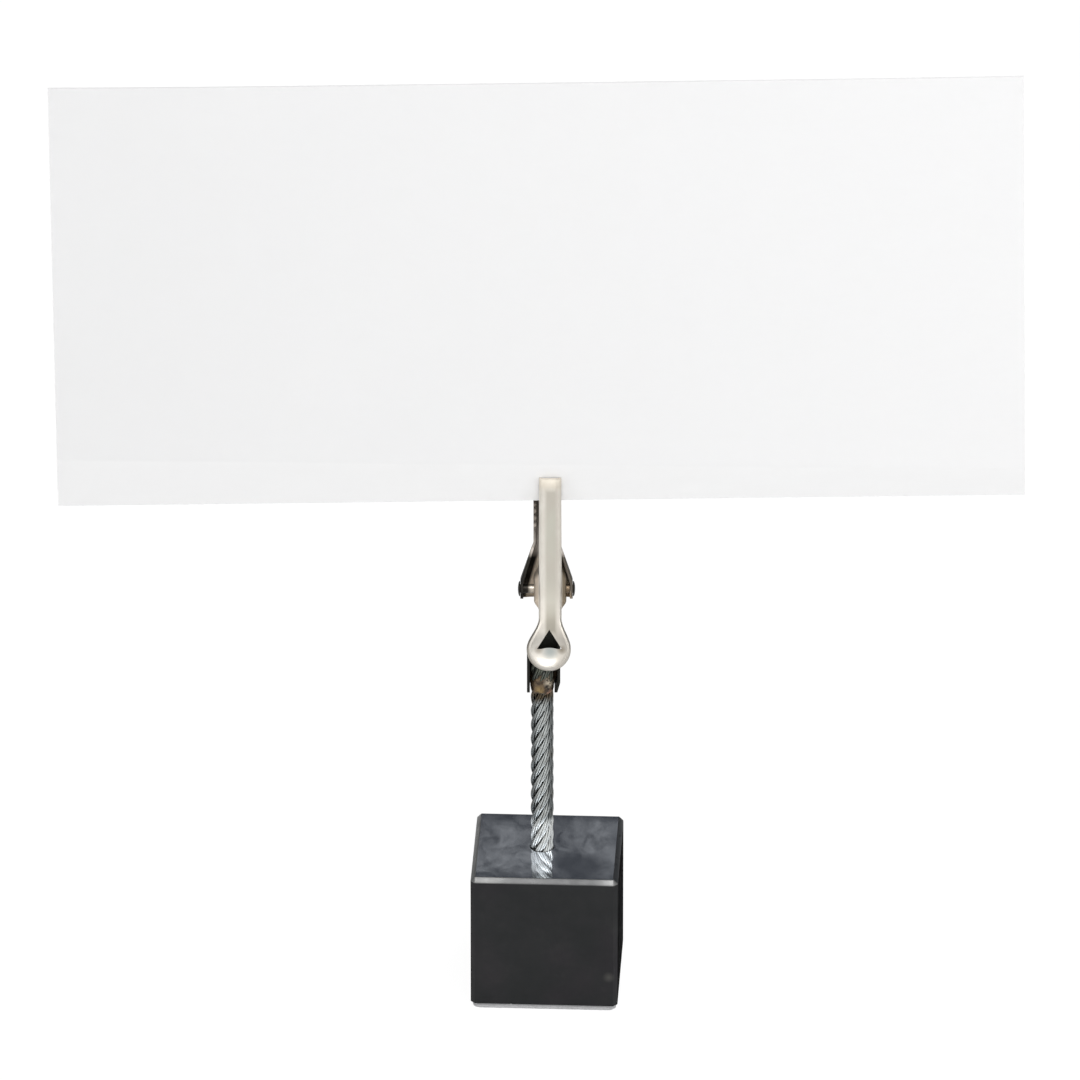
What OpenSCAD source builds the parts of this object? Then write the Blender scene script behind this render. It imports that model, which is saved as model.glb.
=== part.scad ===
// Place card holder: a square metal block, a short post of twisted steel cable and a
// sprung alligator clip that grips a creased card.
// Units are millimetres. +Z is up, the card faces -Y, and the origin is the middle of
// the underside, where the pad meets the table.

/* [Base block] */
// Width of the block, left to right
base_w = 20.4; // [16:0.1:30]
// Depth of the block, front to back
base_d = 19.6; // [16:0.1:30]
// Height of the block
base_h = 19.7; // [15:0.1:30]
// Turn of the block under the clip, its right side forwards
base_turn = 2.7; // [0:0.1:5]
// Width of the bevel along the block's upper and upright edges, measured along a face
base_bevel = 0.6; // [0.3:0.05:1.2]
// Depth of the drilled socket that the cable is glued into
socket_depth = 9; // [6:0.5:13]
// Clearance all round the cable in its socket
socket_gap = 0.05; // [0.03:0.01:0.15]
// Thickness of the felt pad under the block
pad_t = 0.8; // [0.4:0.1:1.5]
// Distance from the block's side to the pad's edge
pad_inset = 0.2; // [0.1:0.1:2]
// Corner radius of the pad
pad_corner = 1.2; // [0.5:0.1:3]

/* [Cable] */
// Diameter over the strands of the cable
cable_d = 3.2; // [2.6:0.1:3.6]
// Distance of the cable's axis to the left of the block's middle
cable_left = 0.7; // [0:0.1:2]
// Length of cable that shows between the block and the clip
cable_rise = 24.9; // [16:0.1:40]
// Length in which a strand winds once round the core
cable_lay = 13; // [12:0.5:30]
// Clearance between neighbouring strands
strand_gap = 0.04; // [0.02:0.01:0.08]

/* [Clip] */
// Thickness of the steel sheet that the jaws are pressed from
sheet_t = 0.4; // [0.3:0.01:0.45]
// Outer corner radius where the sheet is folded
fold_r = 0.55; // [0.5:0.01:0.65]
// Distance of the front jaw's middle to the right of the cable's axis
clip_shift = 1.1; // [0:0.05:1.3]
// Distance of the rear jaw's middle to the left of the front jaw's middle
rear_shift = 0.5; // [0:0.05:0.8]
// Height of the pivot above the clip's lower end
pivot_rise = 16.6; // [16:0.1:22]
// Distance of the pivot in front of the card's middle plane
pivot_front = 1.9; // [1.7:0.05:2.2]
// Distance from the pivot to the tips of the jaws
nose_len = 16.1; // [15:0.1:22]
// Width of the rear jaw
rear_w = 3.6; // [3.5:0.05:4.2]
// Width of the rear jaw's waist between the cable's trough and the ears
rear_waist_w = 3; // [2.8:0.05:3.5]
// Width of the front jaw's neck
lever_w = 3.15; // [2.8:0.05:3.3]
// Width of the front jaw at its tip
lever_tip_w = 3.05; // [2.3:0.05:3.3]
// Radius of the round ears that the rivet passes through
ear_r = 1.4; // [1.25:0.05:1.6]
// Height above the pivot at which the ears run out into the jaws' edges
ear_rise = 5; // [4.5:0.1:7]
// Clearance of the spring's turns and legs beside the front jaw's ears and walls
ear_gap = 0.1; // [0.06:0.01:0.12]
// Width over the rear jaw's ears
ear_span = 7.2; // [6.9:0.1:7.6]
// Pitch of the jaw teeth
tooth_pitch = 1.1; // [0.8:0.05:1.3]
// Depth of the jaw teeth
tooth_depth = 0.45; // [0.2:0.05:0.5]
// Number of teeth along each jaw
tooth_count = 7; // [4:1:8]
// Depth of each jaw from its outer face to the card, at the tip
tip_depth = 1.3; // [1.25:0.05:1.6]

/* [Front jaw's handle] */
// Angle of the handle from upright
handle_angle = 24; // [20:1:30]
// Length of the handle from the pivot to its end
handle_len = 11; // [10:0.1:14]
// Depth of the turned edge round the handle
handle_wall = 1.3; // [1:0.05:1.6]
// Diameter of the round thumb pad at the handle's end
thumb_d = 6.1; // [5:0.1:7]
// Distance of the thumb pad's middle to the left of the front jaw's middle
thumb_shift = 0.2; // [0:0.05:0.4]
// Depth of the hollow in the thumb pad
thumb_dish = 0.5; // [0.1:0.05:0.6]
// Width of the window above the thumb pad
window_w = 3.4; // [2:0.1:3.6]
// Height of the window above the thumb pad
window_h = 2.7; // [1.5:0.1:3]

/* [Rear jaw's trough] */
// Length of the trough that holds the end of the cable
trough_len = 7; // [6:0.1:9]
// Space between the cable and the back and left wall of the trough
trough_gap = 0.1; // [0.06:0.01:0.2]
// Space to the right of the cable in the trough, filled with solder
trough_side_gap = 0.5; // [0.2:0.01:0.8]
// Height of the slanting corner at the trough's lower right
trough_taper = 1.5; // [0.8:0.1:2]
// Height of the solder's collar above the trough's lower end
solder_rise = 2.4; // [2:0.1:4]

/* [Rivet and spring] */
// Diameter of the pivot rivet
rivet_d = 1.2; // [1:0.05:1.3]
// Running clearance of the rivet in the front jaw's ears
rivet_gap = 0.05; // [0.02:0.01:0.08]
// Diameter of the rivet's heads
rivet_head_d = 2.1; // [1.8:0.05:2.4]
// Height of the rivet's heads
rivet_head_h = 0.35; // [0.3:0.05:0.7]
// Diameter of the spring wire
spring_wire_d = 0.5; // [0.4:0.01:0.52]
// Distance between neighbouring turns of the spring, centre to centre
spring_pitch = 1.1; // [0.95:0.01:1.15]
// Clearance between the rivet and the spring's turns
spring_bore_gap = 0.22; // [0.2:0.01:0.3]
// Length of each straight leg of the spring
spring_leg = 4.6; // [4:0.1:5]

/* [Card] */
// Width of the card
card_w = 132.8; // [80:0.5:150]
// Height of the card's upright panel above the crease
card_panel_h = 55.7; // [35:0.5:70]
// Height of the folded lower strip at the card's left edge
strip_left = 7.1; // [6:0.1:12]
// Height of the folded lower strip at the card's right edge
strip_right = 3.9; // [3.3:0.1:12]
// Thickness of the card
card_t = 0.4; // [0.25:0.01:0.5]
// Angle that the panel leans back from the strip
card_lean = 6; // [0:1:15]
// Turn of the card in its own plane, right side up
card_roll = 0.75; // [0:0.05:2]
// Distance that the card's lower edge is centred to the left of the block's middle
card_left = 0.8; // [0:0.1:2]
// Depth of card held between the jaws
card_bite = 3.3; // [3:0.1:5]
// Clearance between the card and each jaw's teeth
grip_gap = 0.03; // [0.02:0.01:0.06]

/* [Hidden] */
$fn = 48;

// Overrun that lets each cutting tool pass the face it cuts
cut = 0.5;

// Cable: the strands wind at the lay angle and their sections are ellipses when cut level
cable_x = -cable_left;
cable_r = cable_d / 2;
strand_count = 6;
strand_sides = 6;
strand_rings_per_lay = 18;
lay_angle = atan(2 * PI * cable_r * 2 / 3 / cable_lay);
strand_orbit = (cable_r + cos(lay_angle) * strand_gap / 2) / (1 + cos(lay_angle) / 2);
strand_r = cable_r - strand_orbit;
core_r = strand_orbit - strand_r - strand_gap / 2;

// Heights up the post
base_top = pad_t + base_h;
cable_z0 = base_top - socket_depth;
trough_z0 = base_top + cable_rise;
trough_z1 = trough_z0 + trough_len;
cable_z1 = trough_z1 - trough_taper;
pivot_z = trough_z0 + pivot_rise;
nose_z = pivot_z + nose_len;

// Clip: each jaw's middle plane, its pivot and the plane where each jaw's teeth end
clip_x = cable_x + clip_shift;
rear_x = clip_x - rear_shift;
pivot_y = -pivot_front;
bite_y = card_t / 2 + grip_gap;
throat_recess = sheet_t;
teeth_len = tooth_pitch * tooth_count;
curl_len = 3 * sheet_t;
curl_drop = tip_depth - fold_r - sheet_t / 2;

// Rivet and spring round the pivot
rivet_r = rivet_d / 2;
spring_wire_r = spring_wire_d / 2;
spring_r = rivet_r + spring_bore_gap + spring_wire_r;
ear_under = 2 * rivet_r;

// Front jaw: depth of the pivot behind its outer face, which bends in one arc from the
// handle's angle to the nose's angle
lever_back = spring_r + spring_wire_r + fold_r + sheet_t;
thumb_r = thumb_d / 2;
thumb_centre = thumb_r - handle_len;
thumb_neck = thumb_centre + thumb_r + 3 * sheet_t;
bend_half = ear_r + ear_under;
nose_angle = atan((lever_back + pivot_front - tip_depth - bite_y) / nose_len);
mid_angle = (nose_angle + handle_angle) / 2;
half_turn = (nose_angle - handle_angle) / 2;
bend_r = bend_half * 180 / PI / half_turn;
lever_foot = [pivot_y, pivot_z] - lever_back * inward(mid_angle);

// Rear jaw: where its outer face stands behind the card's middle plane
rear_back = cable_r + trough_gap + sheet_t;
rear_depth = rear_back + pivot_front;

// Torsion spring: it winds from the rear leg's angle to the front leg's, and each leg
// splays until its wire meets the jaw's inner face at the given distance from the pivot
function splay(distance) = let (seat = distance - spring_wire_r - 2 * grip_gap)
    asin(seat / norm([spring_r, spring_leg])) - atan2(spring_r, spring_leg);
handle_distance = ([pivot_y, pivot_z] - lever_point(thumb_neck)) * inward(handle_angle);
rear_leg_angle = splay(rear_depth - sheet_t);
front_leg_angle = 180 - handle_angle - splay(handle_distance - sheet_t);
spring_turns = 2;
spring_sweep = 360 * spring_turns + front_leg_angle - rear_leg_angle;
spring_half = spring_pitch * spring_sweep / 360 / 2;
spring_leg_x = lever_w / 2 - sheet_t - spring_wire_r - 2 * ear_gap;
leg_joggle_share = 0.45;
spring_rings_per_turn = 8;
spring_sides = 6;

// Widths across the ears, from the spring outwards
lever_ear_x = spring_half + spring_wire_r + 3 * ear_gap + sheet_t;
rear_ear_x = ear_span / 2;
clip_reach = rear_ear_x + rear_shift + cut;
lever_spread = lever_ear_x - lever_w / 2;
lever_spread_share = (lever_back - spring_r - spring_wire_r - fold_r)
    / (lever_back + ear_r - fold_r);
rear_spread = rear_ear_x - rear_w / 2;
rear_spread_top = ear_rise + ear_r / 2;
rear_spread_foot = ear_r * 0.75;
rear_spread_share = (rear_depth - ear_r - ear_gap - fold_r) / (rear_depth + ear_r - fold_r);

// Trough for the cable, and its narrower mouth
trough_left = cable_x - cable_r - trough_gap - sheet_t;
trough_right = cable_x + cable_r + trough_side_gap + sheet_t;
mouth_right = cable_x + cable_r + trough_gap + sheet_t;
trough_wall = rear_back + cable_r * 0.75;

// Shares used along a folded wall and across a dished web
fold_angles = [0, 30, 60, 90];
thumb_angles = [90:-10:10];
web_shares = [0.85, 0.45, 0, -0.45, -0.85];

// Smooth step from 0 to 1, and the same between two places in either order
function ease(t) = let (u = max(0, min(1, t))) u * u * (3 - 2 * u);
function ramp(at, from, to) = ease((at - from) / (to - from));
function mix(a, b, t) = a + (b - a) * t;
function clamp(t) = max(0, min(1, t));

// Places along a line: each stop is [place, number of steps from the stop before]
function along(stops) = concat([stops[0][0]],
    [for (k = [1:len(stops) - 1], i = [1:stops[k][1]])
        mix(stops[k - 1][0], stops[k][0], i / stops[k][1])]);

function flip(points) = [for (p = points) [-p[0], p[1]]];
function reversed(list) = [for (i = [len(list) - 1:-1:0]) list[i]];

// Right-hand wall of a folded sheet, from its free edge to the fold. Each point is
// [distance from the middle, depth behind the outer face].
function wall(half, edge, spread, spread_share, inset) = let (run = edge - fold_r)
    concat([[half + spread - inset, edge],
            [half + spread - inset, fold_r + run * spread_share]],
        [for (a = fold_angles) [half - fold_r + (fold_r - inset) * cos(a),
            fold_r - (fold_r - inset) * sin(a)]]);

function web(half, dish, inset) = [for (share = web_shares)
    [(half - fold_r) * share, dish * (1 - pow(share, 4)) + inset]];

// Closed section of a folded channel: round the outside, then back along the inside
function channel(half, edge, spread, spread_share, dish) =
    let (outer = wall(half, edge, spread, spread_share, 0),
        inner = wall(half, edge, spread, spread_share, sheet_t))
    concat(outer, web(half, dish, 0), flip(reversed(outer)),
        flip(inner), reversed(web(half, dish, sheet_t)), reversed(inner));

// Depth of a jaw's wall: nose and handle are its depths beyond the ears, s is the
// distance along the jaw from the pivot
function wall_depth(s, pivot_depth, nose, handle) =
    s > 0 ? mix(pivot_depth + ear_r, nose, clamp(s / ear_rise))
    : s > -ear_r ? pivot_depth + sqrt(ear_r * ear_r - s * s)
    : mix(pivot_depth, handle, clamp((-s - ear_r) / ear_under));

// How far the web bends in towards the card near the tip
function curl(s) = let (u = clamp((s - nose_len + curl_len) / curl_len))
    curl_drop * (1 - sqrt(1 - u * u));

// Plane where a jaw's edges lie: at the card along the teeth, clear of it in the throat
function edge_plane(s) = bite_y
    + throat_recess * ramp(s, nose_len - teeth_len, nose_len - teeth_len - tooth_pitch);

// A closed solid through rings that all have the same even number of points. An end is
// filled between its ring's first half and its second half, taken backwards. An end that
// folds onto itself needs no filling.
module loft(rings, folded = false) {
    n = len(rings[0]);
    last = (len(rings) - 1) * n;
    sides = [for (i = [0:len(rings) - 2], j = [0:n - 1])
        let (a = i * n + j, b = i * n + (j + 1) % n)
        each [[a, b + n, b], [a, a + n, b + n]]];
    start = [for (j = [0:n / 2 - 2])
        let (k = n - 1 - j)
        each [[j, j + 1, k - 1], [j, k - 1, k]]];
    end = [for (j = [0:n / 2 - 2])
        let (a = last + j, b = last + n - 1 - j)
        each [[a, b - 1, a + 1], [a, b, b - 1]]];
    polyhedron([for (ring = rings) each ring], concat(sides, end, folded ? [] : start));
}

module rounded_plate(w, d, r, h) {
    linear_extrude(h) {
        square([w - 2 * r, d], center = true);
        square([w, d - 2 * r], center = true);
        for (x = [-1, 1], y = [-1, 1])
            translate([x * (w / 2 - r), y * (d / 2 - r)]) circle(r);
    }
}

// A bar along Z, centred, with bevelled long edges
module bevelled_bar(w, d, h, bevel) {
    x = w / 2;
    y = d / 2;
    linear_extrude(h, center = true)
        polygon([[x - bevel, -y], [x, bevel - y], [x, y - bevel], [x - bevel, y],
            [bevel - x, y], [-x, y - bevel], [-x, bevel - y], [bevel - x, -y]]);
}

module base_block() {
    bar_h = base_h + 2 * base_bevel;
    color([0.16, 0.17, 0.18])
    difference() {
        rotate([0, 0, -base_turn]) intersection() {
            translate([0, 0, base_top - base_h / 2])
                bevelled_bar(base_w, base_d, base_h, base_bevel);
            translate([0, 0, base_top - bar_h / 2]) rotate([90, 0, 0])
                bevelled_bar(base_w, bar_h, base_d, base_bevel);
            translate([0, 0, base_top - bar_h / 2]) rotate([90, 0, 90])
                bevelled_bar(base_d, bar_h, base_w, base_bevel);
        }
        translate([cable_x, 0, cable_z0])
            cylinder(r = cable_r + socket_gap, h = socket_depth + cut);
    }
}

module foot_pad() {
    color([0.55, 0.55, 0.56]) rotate([0, 0, -base_turn])
        rounded_plate(base_w - 2 * pad_inset, base_d - 2 * pad_inset, pad_corner, pad_t);
}

module cable_core() {
    color([0.5, 0.52, 0.53])
        translate([cable_x, 0, cable_z0]) cylinder(r = core_r, h = cable_z1 - cable_z0);
}

module cable_strand(number) {
    ring_count = ceil((cable_z1 - cable_z0) / cable_lay * strand_rings_per_lay);
    color([0.62, 0.64, 0.65])
        translate([cable_x, 0, 0])
            loft([for (z = along([[cable_z0, 0], [cable_z1, ring_count]]))
                let (a = 360 * (number / strand_count + (z - cable_z0) / cable_lay))
                [for (k = [0:strand_sides - 1])
                    let (out = strand_orbit + strand_r * cos(360 * k / strand_sides),
                        side = strand_r / cos(lay_angle) * sin(360 * k / strand_sides))
                    [out * cos(a) - side * sin(a), out * sin(a) + side * cos(a), z]]]);
}

// Solder behind the cable in the trough, with a collar round the strands at its lower end
module solder_joint() {
    left = trough_left + sheet_t + grip_gap;
    right = trough_right - sheet_t - grip_gap;
    back = rear_back - sheet_t - grip_gap;
    chamfer = fold_r - sheet_t / 2;
    fill_z0 = trough_z0 + trough_taper;
    collar_r = cable_r + trough_gap / 2;
    color([0.52, 0.42, 0.26])
    difference() {
        union() {
            translate([0, 0, fill_z0])
                linear_extrude(cable_z1 - fill_z0)
                    polygon([[left, 0], [right, 0], [right, back - chamfer],
                        [right - chamfer, back], [left + chamfer, back],
                        [left, back - chamfer]]);
            translate([cable_x, 0, trough_z0 - trough_taper / 3])
                cylinder(r = collar_r, h = solder_rise + trough_taper / 3);
        }
        translate([cable_x, 0, cable_z0])
            cylinder(r = cable_r + strand_gap / 4, h = nose_z);
    }
}

// Rear jaw: one pressed channel from the cable's trough up to the tip
function rear_spread_at(s) = rear_spread
    * clamp((rear_spread_top - s) / (rear_spread_top - rear_spread_foot))
    * ramp(s, -ear_r - ear_under, -ear_r - 2 * ear_gap);

function rear_sides_at(z) = let (neck = [rear_x - rear_w / 2, rear_x + rear_w / 2],
        waist = [clip_x - rear_waist_w / 2, clip_x + rear_waist_w / 2],
        full = [trough_left, trough_right])
    z < trough_z0 + trough_taper
    ? mix([trough_left, mouth_right], full, (z - trough_z0) / trough_taper)
    : z < pivot_z - ear_r - ear_under
    ? mix(full, waist, ramp(z, trough_z1 - trough_taper, trough_z1 + 2 * trough_taper))
    : mix(waist, neck, ramp(z, pivot_z - ear_r - ear_under, pivot_z - ear_r));

function rear_ring(z) = let (s = z - pivot_z,
        back = mix(rear_back, tip_depth + bite_y, clamp(s / nose_len)) - curl(s),
        low = mix(trough_wall, handle_wall, ramp(z, trough_z1 - trough_taper, trough_z1)),
        depth = wall_depth(s, rear_depth, back - edge_plane(s), low),
        sides = rear_sides_at(z), middle = (sides[0] + sides[1]) / 2)
    [for (p = channel((sides[1] - sides[0]) / 2, depth, rear_spread_at(s),
        rear_spread_share, 0)) [middle + p[0], back - p[1], z]];

module rear_jaw() {
    stations = along([[trough_z0, 0], [trough_z0 + trough_taper, 2],
        [trough_z1 - trough_taper, 1], [trough_z1 + 2 * trough_taper, 8],
        [pivot_z - ear_r - ear_under, 2], [pivot_z - ear_r, 3], [pivot_z, 6],
        [pivot_z + ear_rise, 8], [nose_z - teeth_len - tooth_pitch, 1],
        [nose_z - teeth_len, 3], [nose_z - curl_len, 1], [nose_z, 5]]);
    color([0.45, 0.45, 0.44])
    difference() {
        loft([for (z = stations) rear_ring(z)]);
        rivet_hole(grip_gap);
        teeth_cut(1, 0);
    }
}

// Front jaw: its outer face follows a bent line from the thumb pad to the tip
function lever_angle(s) = mid_angle + half_turn * max(-1, min(1, s / bend_half));
function heading(a) = [sin(a), cos(a)];
function inward(a) = [cos(a), -sin(a)];

function lever_point(s) = let (a = lever_angle(s),
        straight = s > bend_half ? s - bend_half : s < -bend_half ? s + bend_half : 0)
    lever_foot + bend_r * (inward(mid_angle) - inward(a)) + straight * heading(a);

function lever_half_at(s) = s < 0
    ? mix(lever_w / 2, thumb_r, ramp(s, thumb_neck, thumb_centre))
    : mix(lever_w / 2, lever_tip_w / 2, ramp(s, ear_r, nose_len));

function lever_x(s) = clip_x - thumb_shift * ramp(s, thumb_neck, thumb_centre);

function lever_spread_at(s) = lever_spread
    * ramp(s, 2 * ear_r, ear_r) * ramp(s, -ear_r - ear_under, -ear_r);

function lever_ring(s) = let (a = lever_angle(s), n = inward(a), face = lever_point(s),
        drop = curl(s), to_card = (-edge_plane(s) - face[0]) / cos(a),
        depth = wall_depth(s, lever_back, to_card, handle_wall),
        dish = thumb_dish * ramp(s, thumb_neck, thumb_centre))
    [for (p = channel(lever_half_at(s), depth - drop, lever_spread_at(s),
            lever_spread_share, dish))
        [lever_x(s) - p[0], face[0] + (p[1] + drop) * n[0], face[1] + (p[1] + drop) * n[1]]];

// Rings of the thumb pad's round end: both halves of the section swing about the middle
// of the pad until they meet
function thumb_ring(turn) = let (n = inward(handle_angle), centre = lever_point(thumb_centre))
    [for (p = channel(thumb_r, handle_wall, 0, lever_spread_share, thumb_dish))
        let (at = centre - abs(p[0]) * sin(turn) * heading(handle_angle) + p[1] * n)
        [lever_x(thumb_centre) - p[0] * cos(turn), at[0], at[1]]];

module front_jaw() {
    stations = along([[thumb_centre, 0], [thumb_neck, 8], [-bend_half, 1], [-ear_r, 3],
        [0, 6], [ear_rise, 8], [nose_len - teeth_len - tooth_pitch, 1],
        [nose_len - teeth_len, 3], [nose_len - curl_len, 1], [nose_len, 5]]);
    color([0.8, 0.78, 0.74])
    difference() {
        loft(concat([for (turn = thumb_angles) thumb_ring(turn)],
            [for (s = stations) lever_ring(s)]), folded = true);
        rivet_hole(rivet_gap);
        teeth_cut(-1, tooth_pitch / 2);
        thumb_window();
    }
}

// Window with a pointed top and an arched sill, through the web above the thumb pad
module thumb_window() {
    centre = lever_point(thumb_centre);
    translate([clip_x, centre[0], centre[1]]) rotate([90 - handle_angle, 0, 0])
        translate([0, 0, -thumb_r]) linear_extrude(2 * thumb_r)
            difference() {
                polygon([[0, window_h], [window_w / 2, 0], [-window_w / 2, 0]]);
                translate([0, -window_w * 0.95]) circle(window_w);
            }
}

// Hole for the rivet through both of a jaw's ears
module rivet_hole(gap) {
    translate([clip_x, pivot_y, pivot_z]) rotate([0, 90, 0])
        cylinder(r = rivet_r + gap, h = 2 * clip_reach, center = true);
}

// Saw teeth across a jaw's edges. facing is 1 for the rear jaw and -1 for the front jaw.
module teeth_cut(facing, offset) {
    translate([clip_x - clip_reach, 0, 0]) rotate([90, 0, 90])
        linear_extrude(2 * clip_reach)
            for (i = [1:tooth_count])
                let (z = nose_z - (i - 0.5) * tooth_pitch - offset)
                polygon([[facing * bite_y / 2, z + tooth_pitch / 2],
                    [facing * (bite_y + tooth_depth), z],
                    [facing * bite_y / 2, z - tooth_pitch / 2]]);
}

module rivet_head() {
    head_r = rivet_head_d / 2;
    dome_r = (head_r * head_r + rivet_head_h * rivet_head_h) / (2 * rivet_head_h);
    intersection() {
        translate([0, 0, rivet_head_h - dome_r]) sphere(dome_r);
        cylinder(r = head_r + cut, h = rivet_head_h + cut);
    }
}

module pivot_rivet() {
    seat = rear_ear_x + grip_gap;
    color([0.4, 0.4, 0.4])
    translate([rear_x, pivot_y, pivot_z]) rotate([0, 90, 0]) {
        cylinder(r = rivet_r, h = 2 * seat, center = true);
        for (side = [0, 1]) mirror([0, 0, side]) translate([0, 0, seat]) rivet_head();
    }
}

// Torsion spring: open turns round the rivet, with a leg at each end that bends in
// between the walls of the jaw it rests on
function round_pivot(a, x) = [clip_x + x, pivot_y + spring_r * cos(a),
    pivot_z + spring_r * sin(a)];

spring_path = let (steps = round(spring_sweep / 360 * spring_rings_per_turn),
        rear_leg = spring_leg * [0, sin(rear_leg_angle), -cos(rear_leg_angle)],
        front_leg = spring_leg * [0, -sin(front_leg_angle), cos(front_leg_angle)])
    concat(
        [for (share = [1, leg_joggle_share])
            round_pivot(rear_leg_angle, -spring_leg_x) + share * rear_leg],
        [for (i = [0:steps]) round_pivot(rear_leg_angle + spring_sweep * i / steps,
            mix(-spring_half, spring_half, i / steps))],
        [for (share = [leg_joggle_share, 1])
            round_pivot(front_leg_angle, spring_leg_x) + share * front_leg]);

function unit(v) = v / norm(v);
function wire_rings(path, r, sides) = [for (i = [0:len(path) - 1])
    let (ahead = path[min(i + 1, len(path) - 1)], behind = path[max(i - 1, 0)],
        forward = unit(ahead - behind), side = unit(cross(forward, [1, 0, 0])),
        up = cross(forward, side))
    [for (k = [0:sides - 1]) path[i] + r * (side * cos(360 * k / sides)
        + up * sin(360 * k / sides))]];

// Least gap between turns, over points more than half a turn apart along the wire
spring_least_gap = min([for (i = [0:len(spring_path) - 1], j = [0:len(spring_path) - 1])
    if (j - i > spring_rings_per_turn / 2)
        norm(spring_path[i] - spring_path[j]) - spring_wire_d]);
echo(spring_least_gap_mm = spring_least_gap);

module torsion_spring() {
    color([0.55, 0.55, 0.55]) loft(wire_rings(spring_path, spring_wire_r, spring_sides));
}

// Card: a strip between the jaws, and a panel that leans back from a slanting crease
function card_face(y) = let (strip_mid = (strip_left + strip_right) / 2,
        lean = [0, sin(card_lean), cos(card_lean)])
    [for (side = [-1, 1])
        let (x = side * card_w / 2, strip = side < 0 ? strip_left : strip_right,
            panel = card_panel_h + strip_mid - strip)
        each [[x, y, 0], [x, y, strip], [x, y, strip] + lean * panel]];

module place_card() {
    quads = [[0, 1, 4, 3], [1, 2, 5, 4], [6, 9, 10, 7], [7, 10, 11, 8],
        [0, 3, 9, 6], [3, 4, 10, 9], [4, 5, 11, 10], [5, 2, 8, 11], [2, 1, 7, 8],
        [1, 0, 6, 7]];
    color([0.96, 0.96, 0.96])
    translate([-card_left, 0, nose_z - card_bite]) rotate([0, -card_roll, 0])
        polyhedron(concat(card_face(-card_t / 2), card_face(card_t / 2)), quads);
}

base_block();
foot_pad();
cable_core();
cable_strand(1);  // cable_strand_1
cable_strand(2);  // cable_strand_2
cable_strand(3);  // cable_strand_3
cable_strand(4);  // cable_strand_4
cable_strand(5);  // cable_strand_5
cable_strand(6);  // cable_strand_6
solder_joint();
rear_jaw();
front_jaw();
pivot_rivet();
torsion_spring();
place_card();
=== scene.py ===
"""Looks for the place card holder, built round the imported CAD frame.

Lengths in the tables are millimetres in the row frame, as in the part's source: +Z up, the
card faces -Y. Meshes are made in metres.
"""

from math import acos, asin, atan, atan2, cos, hypot, pi, radians, sin, sqrt, tau

import bmesh
import bpy
import numpy as np
from mathutils import Matrix, Vector, noise


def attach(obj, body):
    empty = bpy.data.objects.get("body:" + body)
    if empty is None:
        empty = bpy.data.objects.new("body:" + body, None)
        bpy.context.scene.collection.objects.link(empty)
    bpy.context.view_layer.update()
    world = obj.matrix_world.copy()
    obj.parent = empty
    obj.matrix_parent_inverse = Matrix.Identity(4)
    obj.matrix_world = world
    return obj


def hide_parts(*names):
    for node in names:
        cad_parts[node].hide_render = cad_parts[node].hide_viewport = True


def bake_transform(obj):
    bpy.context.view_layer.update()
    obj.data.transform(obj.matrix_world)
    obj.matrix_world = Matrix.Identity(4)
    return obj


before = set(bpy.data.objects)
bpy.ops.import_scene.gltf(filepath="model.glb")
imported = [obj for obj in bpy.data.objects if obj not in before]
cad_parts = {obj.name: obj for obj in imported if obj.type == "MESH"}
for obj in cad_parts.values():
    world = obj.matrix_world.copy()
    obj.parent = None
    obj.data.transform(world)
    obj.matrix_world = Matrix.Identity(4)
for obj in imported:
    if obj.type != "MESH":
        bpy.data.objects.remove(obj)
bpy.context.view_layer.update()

MM = 0.001
ACROSS = {0: (1, 2), 1: (2, 0), 2: (0, 1)}  # the two axes that follow each axis
STAND, LEVER, CARD = "stand", "lever", "card"

# Sizes repeated from the part's source
BASE_W, BASE_D, BASE_H, BASE_BEVEL = 20.4, 19.6, 19.7, 0.6
BASE_TURN = radians(-2.7)
SOCKET_DEPTH, SOCKET_GAP = 9.0, 0.05
PAD_T, PAD_INSET, PAD_CORNER = 0.8, 0.2, 1.2
CABLE_X, CABLE_R, CABLE_LAY, STRAND_GAP = -0.7, 1.6, 13.0, 0.04
CABLE_RISE, TROUGH_LEN, TROUGH_TAPER, SOLDER_RISE = 24.9, 7.0, 1.5, 2.4
SHEET_T, FOLD_R = 0.4, 0.55
CLIP_SHIFT, REAR_SHIFT = 1.1, 0.5
PIVOT_RISE, PIVOT_FRONT, NOSE_LEN = 16.6, 1.9, 16.1
REAR_W, REAR_WAIST_W, LEVER_W, LEVER_TIP_W = 3.6, 3.0, 3.15, 3.05
EAR_R, EAR_RISE, EAR_GAP, EAR_SPAN = 1.4, 5.0, 0.1, 7.2
TOOTH_PITCH, TOOTH_DEPTH, TOOTH_COUNT, TIP_DEPTH = 1.1, 0.45, 7, 1.3
HANDLE_ANGLE, HANDLE_LEN, HANDLE_WALL = radians(24), 11.0, 1.3
THUMB_D, THUMB_DISH, THUMB_SHIFT, WINDOW_W, WINDOW_H = 6.1, 0.5, 0.2, 3.4, 2.7
TROUGH_GAP, TROUGH_SIDE_GAP = 0.1, 0.5
RIVET_D, RIVET_GAP, RIVET_HEAD_D, RIVET_HEAD_H = 1.2, 0.05, 2.1, 0.35
WIRE_D, SPRING_PITCH, SPRING_BORE_GAP, SPRING_LEG = 0.5, 1.1, 0.22, 4.6
CARD_W, PANEL_H, STRIP_LEFT, STRIP_RIGHT, CARD_T = 132.8, 55.7, 7.1, 3.9, 0.4
CARD_LEAN, CARD_ROLL = radians(6), radians(0.75)
CARD_LEFT, CARD_BITE, GRIP_GAP = 0.8, 3.3, 0.03

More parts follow.
